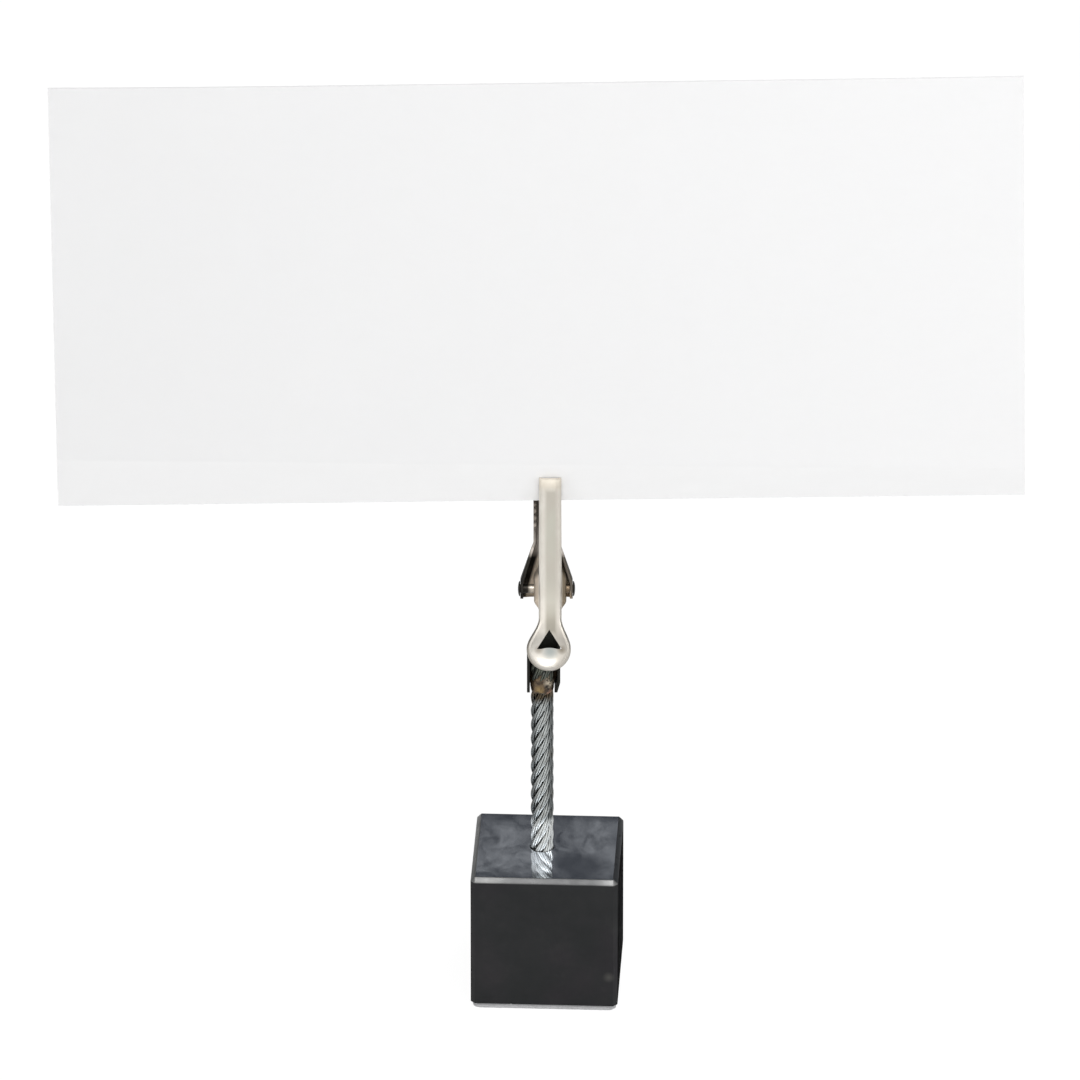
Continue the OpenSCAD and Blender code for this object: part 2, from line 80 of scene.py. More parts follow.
# Places that follow from them
BASE_TOP = PAD_T + BASE_H
CABLE_Z0 = BASE_TOP - SOCKET_DEPTH
TROUGH_Z0 = BASE_TOP + CABLE_RISE
TROUGH_Z1 = TROUGH_Z0 + TROUGH_LEN
CABLE_Z1 = TROUGH_Z1 - TROUGH_TAPER
PIVOT_Z = TROUGH_Z0 + PIVOT_RISE
PIVOT_Y = -PIVOT_FRONT
NOSE_Z = PIVOT_Z + NOSE_LEN
CLIP_X = CABLE_X + CLIP_SHIFT
REAR_X = CLIP_X - REAR_SHIFT
BITE_Y = CARD_T / 2 + GRIP_GAP


# ---- mesh helpers
def new_piece(name, data):
    piece = bpy.data.objects.new(name, data)
    bpy.context.scene.collection.objects.link(piece)
    return piece


def mesh_piece(name, points, faces, merge=0.0, sharp=32.0):
    """A piece from points in millimetres, smooth but for edges sharper than an angle."""
    mesh = bpy.data.meshes.new(name)
    mesh.from_pydata((np.asarray(points, float) * MM).tolist(), [], faces)
    piece = new_piece(name, mesh)
    finish_mesh(piece, merge, sharp)
    return piece


def finish_mesh(piece, merge=0.0, sharp=32.0):
    shape = bmesh.new()
    shape.from_mesh(piece.data)
    if merge:
        bmesh.ops.remove_doubles(shape, verts=shape.verts, dist=merge * MM)
    bmesh.ops.recalc_face_normals(shape, faces=shape.faces)
    for face in shape.faces:
        face.smooth = True
    limit = radians(sharp)
    for edge in shape.edges:
        edge.smooth = len(edge.link_faces) == 2 and edge.calc_face_angle() < limit
    shape.to_mesh(piece.data)
    shape.free()


def loft(rings, start=True, end=True):
    """Points and faces of a solid through rings that run counter-clockwise seen from ahead.
    An end is filled in strips between its ring's first half and its second half."""
    n = len(rings[0])
    points = np.concatenate([np.asarray(ring, float) for ring in rings])
    last = (len(rings) - 1) * n
    faces = []
    for i in range(len(rings) - 1):
        for j in range(n):
            a, b = i * n + j, i * n + (j + 1) % n
            faces.append((a, b, b + n, a + n))
    for j in range(n // 2 - 1):
        k = n - 1 - j
        if start:
            faces.append((k, k - 1, j + 1, j))
        if end:
            faces.append((last + j, last + j + 1, last + k - 1, last + k))
    return points, faces


def joined(parts):
    points, faces, base = [], [], 0
    for part_points, part_faces in parts:
        points.append(part_points)
        faces += [tuple(base + i for i in face) for face in part_faces]
        base += len(part_points)
    return np.concatenate(points), faces


def directions(path):
    ahead = np.gradient(path, axis=0)
    return ahead / np.linalg.norm(ahead, axis=1)[:, None]


def tube(path, radius, sides):
    """A round wire along a path, its rings carried without twist."""
    path = np.asarray(path, float)
    ahead = directions(path)
    side = np.cross(ahead[0], [0.3, 0.2, 0.93])
    side /= np.linalg.norm(side)
    angles = np.linspace(0, tau, sides, endpoint=False)
    rings = []
    for place, forward in zip(path, ahead):
        side = side - forward * np.dot(side, forward)
        side /= np.linalg.norm(side)
        up = np.cross(forward, side)
        around = np.outer(np.cos(angles), side) + np.outer(np.sin(angles), up)
        rings.append(place + radius * around)
    return loft(rings)


def cut_away(piece, cutters, sharp=32.0):
    """Takes closed cutters, each (points, faces), out of a piece."""
    cutter = mesh_piece(piece.name + "_cutter", *joined(cutters))
    difference = piece.modifiers.new("cut", "BOOLEAN")
    difference.operation, difference.solver, difference.object = "DIFFERENCE", "EXACT", cutter
    difference.use_self = True
    bpy.context.view_layer.update()
    shown = piece.evaluated_get(bpy.context.evaluated_depsgraph_get())
    mesh = bpy.data.meshes.new_from_object(shown)
    piece.modifiers.clear()
    piece.data = mesh
    mesh.name = piece.name
    bpy.data.objects.remove(cutter)
    finish_mesh(piece, sharp=sharp)


def prism(outline, axis, low, high):
    """Points and faces of a straight prism. The outline's points are in the plane across
    the axis, in the order of the two axes that follow it."""
    n = len(outline)
    rings = np.zeros((2, n, 3))
    rings[:, :, axis] = [[low], [high]]
    rings[:, :, ACROSS[axis]] = outline
    faces = [(j, (j + 1) % n, n + (j + 1) % n, n + j) for j in range(n)]
    faces += [tuple(range(n - 1, -1, -1)), tuple(range(n, 2 * n))]
    return rings.reshape(-1, 3), faces


def circle(centre, radius, sides=48):
    return [(centre[0] + radius * cos(tau * k / sides),
             centre[1] + radius * sin(tau * k / sides)) for k in range(sides)]


def lathe(profile, sides, axis_point, axis=2):
    """Points and faces of a turned solid. The profile runs from the axis back to the axis,
    as (radius, height) pairs."""
    rings = np.zeros((len(profile), sides, 3))
    for ring, (radius, height) in zip(rings, profile):
        ring[:, ACROSS[axis]] = circle((0, 0), radius, sides)
        ring[:, axis] = height
    return loft(rings + axis_point, start=False, end=False)


def clamp(t):
    return max(0.0, min(1.0, t))


def ease(t):
    u = clamp(t)
    return u * u * (3 - 2 * u)


def ramp(at, start, end):
    return ease((at - start) / (end - start))


def mix(a, b, t):
    return a + (b - a) * t


def along(stops):
    """Places along a line: each stop is (place, number of steps from the stop before)."""
    places = [stops[0][0]]
    for (start, _), (end, steps) in zip(stops, stops[1:]):
        places += [mix(start, end, (i + 1) / steps) for i in range(steps)]
    return places


# ---- clip's pressed jaws
FOLD_ANGLES = [radians(a) for a in range(0, 91, 10)]
EDGE_ANGLES = [radians(a) for a in (90, 60, 30, 0)]
EDGE_R = 0.09
WEB_SHARES = [0.9 - 0.15 * k for k in range(13)]
SPRING_R = RIVET_D / 2 + SPRING_BORE_GAP + WIRE_D / 2
SPRING_WIRE_R = WIRE_D / 2
LEVER_BACK = SPRING_R + SPRING_WIRE_R + FOLD_R + SHEET_T
THUMB_R = THUMB_D / 2
THUMB_CENTRE = THUMB_R - HANDLE_LEN
THUMB_NECK = THUMB_CENTRE + THUMB_R + 3 * SHEET_T
EAR_UNDER = RIVET_D
BEND_HALF = EAR_R + EAR_UNDER
NOSE_ANGLE = atan((LEVER_BACK + PIVOT_FRONT - TIP_DEPTH - BITE_Y) / NOSE_LEN)
MID_ANGLE = (NOSE_ANGLE + HANDLE_ANGLE) / 2
HALF_TURN = (NOSE_ANGLE - HANDLE_ANGLE) / 2
BEND_R = BEND_HALF / HALF_TURN
REAR_BACK = CABLE_R + TROUGH_GAP + SHEET_T
REAR_DEPTH = REAR_BACK + PIVOT_FRONT
TEETH_LEN = TOOTH_PITCH * TOOTH_COUNT
CURL_LEN = 3 * SHEET_T
CURL_DROP = TIP_DEPTH - FOLD_R - SHEET_T / 2
WINDOW_LEFT = 0.12


def wall(half, edge, spread, spread_share, inset):
    """Right-hand wall of a folded sheet, from its rounded free edge to the fold, as
    (distance from the middle, depth behind the outer face)."""
    out = 1 if inset == 0 else -1
    x = half + spread - inset
    points = [(x + out * EDGE_R * (cos(a) - 1), edge + EDGE_R * (sin(a) - 1))
              for a in EDGE_ANGLES]
    kink = FOLD_R + (edge - FOLD_R) * spread_share
    above = kink + 0.35 * (edge - kink)
    below_x, below = mix(x, half - inset, 0.35), mix(kink, FOLD_R, 0.35)
    for t in (0, 0.25, 0.5, 0.75, 1):
        points.append(((1 - t) ** 2 * x + 2 * t * (1 - t) * x + t * t * below_x,
                       (1 - t) ** 2 * above + 2 * t * (1 - t) * kink + t * t * below))
    points += [(half - FOLD_R + (FOLD_R - inset) * cos(a),
                FOLD_R - (FOLD_R - inset) * sin(a)) for a in FOLD_ANGLES]
    return points


def flip(points):
    return [(-x, y) for x, y in points]


def channel(half, edge, spread, spread_share, dish):
    outer = wall(half, edge, spread, spread_share, 0)
    inner = wall(half, edge, spread, spread_share, SHEET_T)
    webs = [[((half - FOLD_R) * share, dish * (1 - share ** 4) + inset) for share in WEB_SHARES]
            for inset in (0, SHEET_T)]
    return outer + webs[0] + flip(outer[::-1]) + flip(inner) + webs[1][::-1] + inner[::-1]


def wall_depth(s, pivot_depth, nose, handle):
    if s > 0:
        return mix(pivot_depth + EAR_R, nose, clamp(s / EAR_RISE))
    if s > -EAR_R:
        return pivot_depth + sqrt(EAR_R * EAR_R - s * s)
    return mix(pivot_depth, handle, clamp((-s - EAR_R) / EAR_UNDER))


def curl(s):
    u = clamp((s - NOSE_LEN + CURL_LEN) / CURL_LEN)
    return CURL_DROP * (1 - sqrt(1 - u * u))


def edge_plane(s):
    return BITE_Y + SHEET_T * ramp(s, NOSE_LEN - TEETH_LEN, NOSE_LEN - TEETH_LEN - TOOTH_PITCH)


def splay(distance):
    seat = distance - SPRING_WIRE_R - 2 * GRIP_GAP
    return asin(seat / hypot(SPRING_R, SPRING_LEG)) - atan2(SPRING_R, SPRING_LEG)


def lever_angle(s):
    return MID_ANGLE + HALF_TURN * max(-1, min(1, s / BEND_HALF))


def heading(a):
    return np.array([sin(a), cos(a)])


def inward(a):
    return np.array([cos(a), -sin(a)])


PIVOT = np.array([PIVOT_Y, PIVOT_Z])
LEVER_FOOT = PIVOT - LEVER_BACK * inward(MID_ANGLE)


def lever_point(s):
    a = lever_angle(s)
    straight = s - BEND_HALF if s > BEND_HALF else s + BEND_HALF if s < -BEND_HALF else 0
    return LEVER_FOOT + BEND_R * (inward(MID_ANGLE) - inward(a)) + straight * heading(a)


HANDLE_DISTANCE = float(np.dot(PIVOT - lever_point(THUMB_NECK), inward(HANDLE_ANGLE)))
REAR_LEG_ANGLE = splay(REAR_DEPTH - SHEET_T)
FRONT_LEG_ANGLE = pi - HANDLE_ANGLE - splay(HANDLE_DISTANCE - SHEET_T)
SPRING_SWEEP = 4 * pi + FRONT_LEG_ANGLE - REAR_LEG_ANGLE
SPRING_HALF = SPRING_PITCH * SPRING_SWEEP / tau / 2
SPRING_LEG_X = LEVER_W / 2 - SHEET_T - SPRING_WIRE_R - 2 * EAR_GAP
LEG_JOGGLE_SHARE = 0.45
LEVER_EAR_X = SPRING_HALF + SPRING_WIRE_R + 3 * EAR_GAP + SHEET_T
REAR_EAR_X = EAR_SPAN / 2
CLIP_REACH = REAR_EAR_X + REAR_SHIFT + 0.5
LEVER_SPREAD = LEVER_EAR_X - LEVER_W / 2
LEVER_SPREAD_SHARE = ((LEVER_BACK - SPRING_R - SPRING_WIRE_R - FOLD_R)
                      / (LEVER_BACK + EAR_R - FOLD_R))
REAR_SPREAD = REAR_EAR_X - REAR_W / 2
REAR_SPREAD_TOP, REAR_SPREAD_FOOT = EAR_RISE + EAR_R / 2, EAR_R * 0.75
REAR_SPREAD_SHARE = (REAR_DEPTH - EAR_R - EAR_GAP - FOLD_R) / (REAR_DEPTH + EAR_R - FOLD_R)
TROUGH_LEFT = CABLE_X - CABLE_R - TROUGH_GAP - SHEET_T
TROUGH_RIGHT = CABLE_X + CABLE_R + TROUGH_SIDE_GAP + SHEET_T
MOUTH_RIGHT = CABLE_X + CABLE_R + TROUGH_GAP + SHEET_T
TROUGH_WALL = REAR_BACK + CABLE_R * 0.75


def rear_sides(z):
    sides = np.array([-1, 1])
    neck, waist = REAR_X + REAR_W / 2 * sides, CLIP_X + REAR_WAIST_W / 2 * sides
    full = np.array([TROUGH_LEFT, TROUGH_RIGHT])
    if z < TROUGH_Z0 + TROUGH_TAPER:
        return mix(np.array([TROUGH_LEFT, MOUTH_RIGHT]), full, (z - TROUGH_Z0) / TROUGH_TAPER)
    if z < PIVOT_Z - EAR_R - EAR_UNDER:
        return mix(full, waist, ramp(z, TROUGH_Z1 - TROUGH_TAPER, TROUGH_Z1 + 2 * TROUGH_TAPER))
    return mix(waist, neck, ramp(z, PIVOT_Z - EAR_R - EAR_UNDER, PIVOT_Z - EAR_R))


def rear_ring(z):
    s = z - PIVOT_Z
    back = mix(REAR_BACK, TIP_DEPTH + BITE_Y, clamp(s / NOSE_LEN)) - curl(s)
    low = mix(TROUGH_WALL, HANDLE_WALL, ramp(z, TROUGH_Z1 - TROUGH_TAPER, TROUGH_Z1))
    depth = wall_depth(s, REAR_DEPTH, back - edge_plane(s), low)
    spread = (REAR_SPREAD * clamp((REAR_SPREAD_TOP - s) / (REAR_SPREAD_TOP - REAR_SPREAD_FOOT))
              * ramp(s, -EAR_R - EAR_UNDER, -EAR_R - 2 * EAR_GAP))
    sides = rear_sides(z)
    middle = sum(sides) / 2
    return [(middle + x, back - y, z)
            for x, y in channel((sides[1] - sides[0]) / 2, depth, spread, REAR_SPREAD_SHARE, 0)]


def lever_x(s):
    return CLIP_X - THUMB_SHIFT * ramp(s, THUMB_NECK, THUMB_CENTRE)


def lever_ring(s):
    a, face, drop = lever_angle(s), lever_point(s), curl(s)
    to_card = (-edge_plane(s) - face[0]) / cos(a)
    depth = wall_depth(s, LEVER_BACK, to_card, HANDLE_WALL)
    dish = THUMB_DISH * ramp(s, THUMB_NECK, THUMB_CENTRE)
    half = (mix(LEVER_W / 2, THUMB_R, ramp(s, THUMB_NECK, THUMB_CENTRE)) if s < 0
            else mix(LEVER_W / 2, LEVER_TIP_W / 2, ramp(s, EAR_R, NOSE_LEN)))
    spread = LEVER_SPREAD * ramp(s, 2 * EAR_R, EAR_R) * ramp(s, -EAR_R - EAR_UNDER, -EAR_R)
    ring = []
    for x, y in channel(half, depth - drop, spread, LEVER_SPREAD_SHARE, dish):
        at = face + (y + drop) * inward(a)
        ring.append((lever_x(s) - x, *at))
    return ring


def thumb_ring(turn):
    centre = lever_point(THUMB_CENTRE)
    ring = []
    for x, y in channel(THUMB_R, HANDLE_WALL, 0, LEVER_SPREAD_SHARE, THUMB_DISH):
        at = centre - abs(x) * sin(turn) * heading(HANDLE_ANGLE) + y * inward(HANDLE_ANGLE)
        ring.append((lever_x(THUMB_CENTRE) - x * cos(turn), *at))
    return ring


def teeth_cutters(facing, offset):
    """Saw-tooth notches across a jaw's edges: facing is 1 for the rear jaw, -1 for the front."""
    cutters = []
    for i in range(1, TOOTH_COUNT + 1):
        z = NOSE_Z - (i - 0.5) * TOOTH_PITCH - offset
        outline = [(facing * BITE_Y / 2, z + TOOTH_PITCH / 2),
                   (facing * (BITE_Y + TOOTH_DEPTH), z),
                   (facing * BITE_Y / 2, z - TOOTH_PITCH / 2)]
        cutters.append(prism(outline, 0, CLIP_X - CLIP_REACH, CLIP_X + CLIP_REACH))
    return cutters


def rivet_cutter(gap):
    return prism(circle((PIVOT_Y, PIVOT_Z), RIVET_D / 2 + gap), 0,
                 CLIP_X - CLIP_REACH, CLIP_X + CLIP_REACH)


def window_cutter():
    """Window above the thumb pad: a pointed top and an arched sill."""
    sill_r, sill_centre, corner = WINDOW_W, -WINDOW_W * 0.95, WINDOW_W / 2
    spread = acos(-sill_centre / sill_r)
    sill = [(sill_r * sin(a), sill_centre + sill_r * cos(a))
            for a in np.linspace(-spread, spread, 9)]
    outline = [(0, WINDOW_H), (-corner, 0)] + sill + [(corner, 0)]
    points, faces = prism([(y, x) for x, y in outline], 1, -THUMB_R, THUMB_R)
    centre = lever_point(THUMB_CENTRE)
    turn = Matrix.Rotation(-HANDLE_ANGLE, 4, "X")
    place = Matrix.Translation((CLIP_X - WINDOW_LEFT, *centre)) @ turn
    return [tuple(place @ Vector(p)) for p in points], faces


def make_rear_jaw():
    stations = along([(TROUGH_Z0, 0), (TROUGH_Z0 + TROUGH_TAPER, 6),
                      (TROUGH_Z1 - TROUGH_TAPER, 8), (TROUGH_Z1 + 2 * TROUGH_TAPER, 24),
                      (PIVOT_Z - EAR_R - EAR_UNDER, 6), (PIVOT_Z - EAR_R, 8), (PIVOT_Z, 14),
                      (PIVOT_Z + EAR_RISE, 24), (NOSE_Z - TEETH_LEN - TOOTH_PITCH, 6),
                      (NOSE_Z - TEETH_LEN, 6), (NOSE_Z - CURL_LEN, 14), (NOSE_Z, 12)])
    jaw = mesh_piece("rear_jaw_pressing", *loft([rear_ring(z) for z in stations]))
    cut_away(jaw, teeth_cutters(1, 0) + [rivet_cutter(GRIP_GAP)])
    return jaw


def make_front_jaw():
    stations = along([(THUMB_CENTRE, 0), (THUMB_NECK, 24), (-BEND_HALF, 6), (-EAR_R, 8),
                      (0, 14), (EAR_RISE, 24), (NOSE_LEN - TEETH_LEN - TOOTH_PITCH, 4),
                      (NOSE_LEN - TEETH_LEN, 6), (NOSE_LEN - CURL_LEN, 14), (NOSE_LEN, 12)])
    rings = [thumb_ring(radians(turn)) for turn in range(90, 0, -6)]
    rings += [lever_ring(s) for s in stations]
    jaw = mesh_piece("front_jaw_pressing", *loft(rings, start=False), merge=0.002)
    cut_away(jaw, teeth_cutters(-1, TOOTH_PITCH / 2) + [rivet_cutter(RIVET_GAP), window_cutter()])
    return jaw


def make_rivet():
    """Rivet with peened heads, each with a dimple."""
    seat, head, skirt = REAR_EAR_X + GRIP_GAP, RIVET_HEAD_D / 2, 0.06
    top = seat + RIVET_HEAD_H
    half = [(RIVET_D / 2, seat), (head - 0.04, seat), (head, seat + skirt / 2),
            (head, seat + skirt)]
    half += [(head * cos(a), seat + skirt + (RIVET_HEAD_H - 0.1) * sin(a))
             for a in np.radians(range(10, 81, 10))]
    half += [(0.16, top - 0.04), (0.1, top - 0.08), (0, top - 0.09)]
    profile = [(r, -h) for r, h in half[::-1]] + half
    turned = lathe(profile, 48, (REAR_X, PIVOT_Y, PIVOT_Z), axis=0)
    return mesh_piece("pivot_rivet_peened", *turned, merge=0.001)


def make_spring():
    """Torsion spring: two turns round the pivot and a joggled leg against each jaw."""
    def round_pivot(a, x):
        return np.array([CLIP_X + x, PIVOT_Y + SPRING_R * cos(a),
                         PIVOT_Z + SPRING_R * sin(a)])

    rear_leg = SPRING_LEG * np.array([0, sin(REAR_LEG_ANGLE), -cos(REAR_LEG_ANGLE)])
    front_leg = SPRING_LEG * np.array([0, -sin(FRONT_LEG_ANGLE), cos(FRONT_LEG_ANGLE)])
    steps = round(SPRING_SWEEP / tau * 20)
    path = [round_pivot(REAR_LEG_ANGLE, -SPRING_LEG_X) + t * rear_leg
            for t in (1, 0.8, 0.6, LEG_JOGGLE_SHARE)]
    path += [round_pivot(REAR_LEG_ANGLE + SPRING_SWEEP * i / steps,
                         mix(-SPRING_HALF, SPRING_HALF, i / steps)) for i in range(steps + 1)]
    path += [round_pivot(FRONT_LEG_ANGLE, SPRING_LEG_X) + t * front_leg
             for t in (LEG_JOGGLE_SHARE, 0.6, 0.8, 1)]
    for _ in range(2):
        softer = [path[0]]
        for a, b in zip(path, path[1:]):
            softer += [0.75 * a + 0.25 * b, 0.25 * a + 0.75 * b]
        path = softer + [path[-1]]
    return mesh_piece("torsion_spring_wire", *tube(path, SPRING_WIRE_R, 10), sharp=60)


# ---- cable
LAY_ANGLE = atan(tau * CABLE_R * 2 / 3 / CABLE_LAY)
STRAND_ORBIT = (CABLE_R + cos(LAY_ANGLE) * STRAND_GAP / 2) / (1 + cos(LAY_ANGLE) / 2)
STRAND_R = CABLE_R - STRAND_ORBIT
CORE_R = STRAND_ORBIT - STRAND_R - STRAND_GAP / 2
STRANDS, WIRES, WIRE_LAY = 6, 6, 7.5


def stranded(centre, across, radius):
    """Seven wires laid round a centreline: across gives two unit vectors at each point."""
    wire_r = radius / 3
    parts = [tube(centre, wire_r * 0.99, 8)]
    lengths = np.concatenate([[0], np.cumsum(np.linalg.norm(np.diff(centre, axis=0), axis=1))])
    for k in range(WIRES):
        turn = tau * (k / WIRES) - tau * lengths / WIRE_LAY
        offset = np.cos(turn)[:, None] * across[0] + np.sin(turn)[:, None] * across[1]
        parts.append(tube(centre + 2 * wire_r * offset, wire_r * 0.99, 8))
    return joined(parts)


def make_strand(number):
    z = np.linspace(CABLE_Z0, CABLE_Z1, 110)
    a = tau * (number / STRANDS + (z - CABLE_Z0) / CABLE_LAY)
    out = np.stack([np.cos(a), np.sin(a), np.zeros_like(a)], axis=1)
    centre = STRAND_ORBIT * out + np.stack([np.full_like(z, CABLE_X), 0 * z, z], axis=1)
    across = out, np.cross(directions(centre), out)
    return mesh_piece(f"cable_strand_{number}_wires", *stranded(centre, across, STRAND_R),
                      sharp=60)


def make_core():
    z = np.linspace(CABLE_Z0, CABLE_Z1, 90)
    centre = np.stack([np.full_like(z, CABLE_X), 0 * z, z], axis=1)
    x, y = np.zeros_like(centre), np.zeros_like(centre)
    x[:, 0], y[:, 1] = 1, 1
    return mesh_piece("cable_core_wires", *stranded(centre, (x, y), CORE_R), sharp=60)


def make_solder():
    """Solder that fills the trough behind the cable, with a ragged collar at its lower end."""
    left = TROUGH_LEFT + SHEET_T + GRIP_GAP - CABLE_X
    right = TROUGH_RIGHT - SHEET_T - GRIP_GAP - CABLE_X
    back = REAR_BACK - SHEET_T - GRIP_GAP
    sides, levels = 72, 60
    inside = CABLE_R * 0.8
    rings = []
    for i in range(levels + 1):
        t = i / levels
        ring = []
        for k in range(sides):
            a = tau * k / sides
            dx, dy = cos(a), sin(a)
            lump = noise.noise(Vector((dx * 1.3, dy * 1.3, 7.0)))
            z = mix(TROUGH_Z0 - 0.25 + 0.45 * lump, CABLE_Z1 - 0.05, t)
            skin = noise.fractal(Vector((dx * 2.2, dy * 2.2, z * 1.1)), 1.0, 2.0, 3)
            ragged = noise.noise(Vector((dx * 1.6, dy * 1.6, 3.0)))
            collar_top = TROUGH_Z0 + SOLDER_RISE - 0.5 + 0.9 * ragged
            radius = CABLE_R + 0.03 + 0.1 * skin
            radius = mix(radius, inside, ramp(z, collar_top - 0.35, collar_top + 0.1))
            walls = [right / dx if dx > 1e-6 else 9, left / dx if dx < -1e-6 else 9,
                     back / dy if dy > 1e-6 else 9]
            filled = (ramp(z, TROUGH_Z0 + 0.5, TROUGH_Z0 + TROUGH_TAPER + 0.4)
                      * ramp(dy, -0.02, 0.12) * max(0.0, abs(dx), dy))
            radius = mix(radius, max(radius, min(min(walls), CABLE_R * 1.45)), filled)
            radius = min(radius, *walls)
            open_ends = sqrt(clamp(t / 0.07)) * sqrt(clamp((1 - t) / 0.05))
            radius = mix(inside, radius, open_ends)
            ring.append((CABLE_X + radius * dx, radius * dy, z))
        rings.append(ring)
    inner = [[(x, y, ring[0][2]) for x, y in circle((CABLE_X, 0), inside * 0.98, sides)]
             for ring in (rings[-1], rings[0])]
    points, faces = loft(rings + inner, start=False, end=False)
    n = len(rings + inner)
    faces += [((n - 1) * sides + j, (n - 1) * sides + (j + 1) % sides, (j + 1) % sides, j)
              for j in range(sides)]
    return mesh_piece("solder_joint_cast", points, faces, sharp=70)


# ---- block, pad and card
CHIPS = [  # small nicks in the block's edges: place before its turn, radius
    ((-10.1, -9.6, 11.2), 0.22), ((10.1, -9.6, 6.9), 0.26),
    ((-4.6, -9.85, 0.9), 0.26), ((10.0, 4.2, 20.3), 0.24), ((-10.0, -3.1, 20.35), 0.22),
    ((3.4, 9.65, 20.3), 0.25), ((-10.1, 9.6, 7.4), 0.26),
]
EDGE_SOFTNESS, RIM_CHAMFER = 0.07, 0.06
HALF_FOLD, CARD_TRIM = 0.5, 0.03  # the trim keeps the bowed card inside the CAD's box
BLOCK_TURN = Matrix.Rotation(BASE_TURN, 4, "Z")


def make_block():
    """Block with a sharp foot, bevelled upper and upright edges, socket and nicks."""
    shape = bmesh.new()
    bmesh.ops.create_cube(shape, size=1)
    bmesh.ops.scale(shape, verts=shape.verts, vec=(BASE_W * MM, BASE_D * MM, BASE_H * MM))
    bmesh.ops.translate(shape, verts=shape.verts, vec=(0, 0, (PAD_T + BASE_H / 2) * MM))
    above_foot = [edge for edge in shape.edges
                  if any(v.co.z > BASE_TOP * MM / 2 for v in edge.verts)]
    bmesh.ops.bevel(shape, geom=above_foot, offset=BASE_BEVEL * MM, segments=1, affect="EDGES",
                    offset_type="OFFSET")
    bmesh.ops.bevel(shape, geom=shape.edges[:], offset=EDGE_SOFTNESS * MM, segments=3, profile=0.5,
                    affect="EDGES", offset_type="OFFSET", clamp_overlap=True)
    bmesh.ops.transform(shape, matrix=BLOCK_TURN, verts=shape.verts)
    mesh = bpy.data.meshes.new("base_block_finished")
    shape.to_mesh(mesh)
    shape.free()
    block = new_piece("base_block_finished", mesh)
    hole = CABLE_R + SOCKET_GAP
    rim = hole + RIM_CHAMFER
    profile = [(0, CABLE_Z0), (hole, CABLE_Z0), (hole, BASE_TOP - 0.05), (rim, BASE_TOP + 0.01),
               (rim, BASE_TOP + 1), (0, BASE_TOP + 1)]
    cutters = [lathe(profile, 64, (CABLE_X, 0, 0))]
    for index, (place, radius) in enumerate(CHIPS):
        cutters.append(pebble(BLOCK_TURN @ Vector(place), radius, index))
    cut_away(block, cutters, sharp=25)
    return block


def pebble(place, radius, seed):
    """An irregular little lump, used to nick an edge."""
    shape = bmesh.new()
    bmesh.ops.create_icosphere(shape, subdivisions=2, radius=1)
    points = []
    for vertex in shape.verts:
        grow = 1 + 0.35 * noise.noise(vertex.co * 1.7 + Vector((seed * 3.1, 0, 0)))
        points.append(tuple(place + vertex.co * radius * grow))
    faces = [tuple(v.index for v in face.verts) for face in shape.faces]
    shape.free()
    return points, faces


def make_pad():
    """Felt pad with a slightly ragged cut edge and a soft upper and lower rim."""
    x, y = BASE_W / 2 - PAD_INSET - PAD_CORNER, BASE_D / 2 - PAD_INSET - PAD_CORNER
    bends = [np.array(bend) for bend in ((x, y), (-x, y), (-x, -y), (x, -y), (x, y))]
    outline = []
    for k in range(4):
        start, end = pi / 2 * k, pi / 2 * (k + 1)
        outline += [(bends[k], a) for a in np.linspace(start, end, 10)]
        outline += [(mix(bends[k], bends[k + 1], t), end) for t in np.linspace(0, 1, 60)[1:-1]]
    rings = []
    for z, pull in ((0, 0.1), (0.05, 0.03), (0.3, 0), (0.72, 0.02), (PAD_T, 0.08)):
        ring = []
        for bend, a in outline:
            outward = np.array([cos(a), sin(a)])
            edge = bend + PAD_CORNER * outward
            rough = 0.06 * noise.fractal(Vector((*(edge * 2.5), z * 4)), 1.0, 2.0, 3)
            ring.append(tuple(BLOCK_TURN @ Vector((*(edge - outward * (pull + 0.03 + rough)), z))))
        rings.append(ring)
    points, faces = loft(rings, start=False, end=False)
    n = len(outline)
    faces += [tuple(range(n - 1, -1, -1)), tuple(range(4 * n, 5 * n))]
    return mesh_piece("foot_pad_felt", points, faces, sharp=50)


def card_line(x):
    """The card's middle surface at a place across it, from its lower edge up, as
    (depth, height, lean)."""
    strip = mix(STRIP_LEFT, STRIP_RIGHT, (x + CARD_W / 2) / CARD_W)
    total = (STRIP_LEFT + STRIP_RIGHT) / 2 + PANEL_H - CARD_TRIM
    away = max(0.0, abs(x) - 6) / (CARD_W / 2 - 6)

    def lean(at):
        return CARD_LEAN * ramp(at, strip - HALF_FOLD, strip + HALF_FOLD)

    y, z, before, line = 0.0, 0.0, 0.0, []
    for s in along([(0, 0), (strip - HALF_FOLD, 4), (strip + HALF_FOLD, 8), (total, 40)]):
        angle = lean((s + before) / 2)
        y += (s - before) * sin(angle)
        z += (s - before) * cos(angle)
        before = s
        share = s / total
        bow = 0.35 * away ** 2 * share ** 1.3 + 0.12 * sin(x * 0.07 + 1) * share ** 2 * away
        line.append((y + bow, z, lean(s)))
    return line


def make_card():
    """Creased card: a strip between the jaws and a panel that leans back from the crease."""
    half, reach = CARD_T / 2, CARD_W / 2 - CARD_TRIM / 10
    place = (Matrix.Translation((-CARD_LEFT, 0, NOSE_Z - CARD_BITE))
             @ Matrix.Rotation(-CARD_ROLL, 4, "Y"))
    rings = []
    for x in np.linspace(-reach, reach, 73):
        front, back = [[(x, y + side * cos(lean), z - side * sin(lean))
                        for y, z, lean in card_line(x)] for side in (-half, half)]
        rings.append([tuple(place @ Vector(point)) for point in front + back[::-1]])
    return mesh_piece("place_card_stock", *loft(rings), sharp=40)


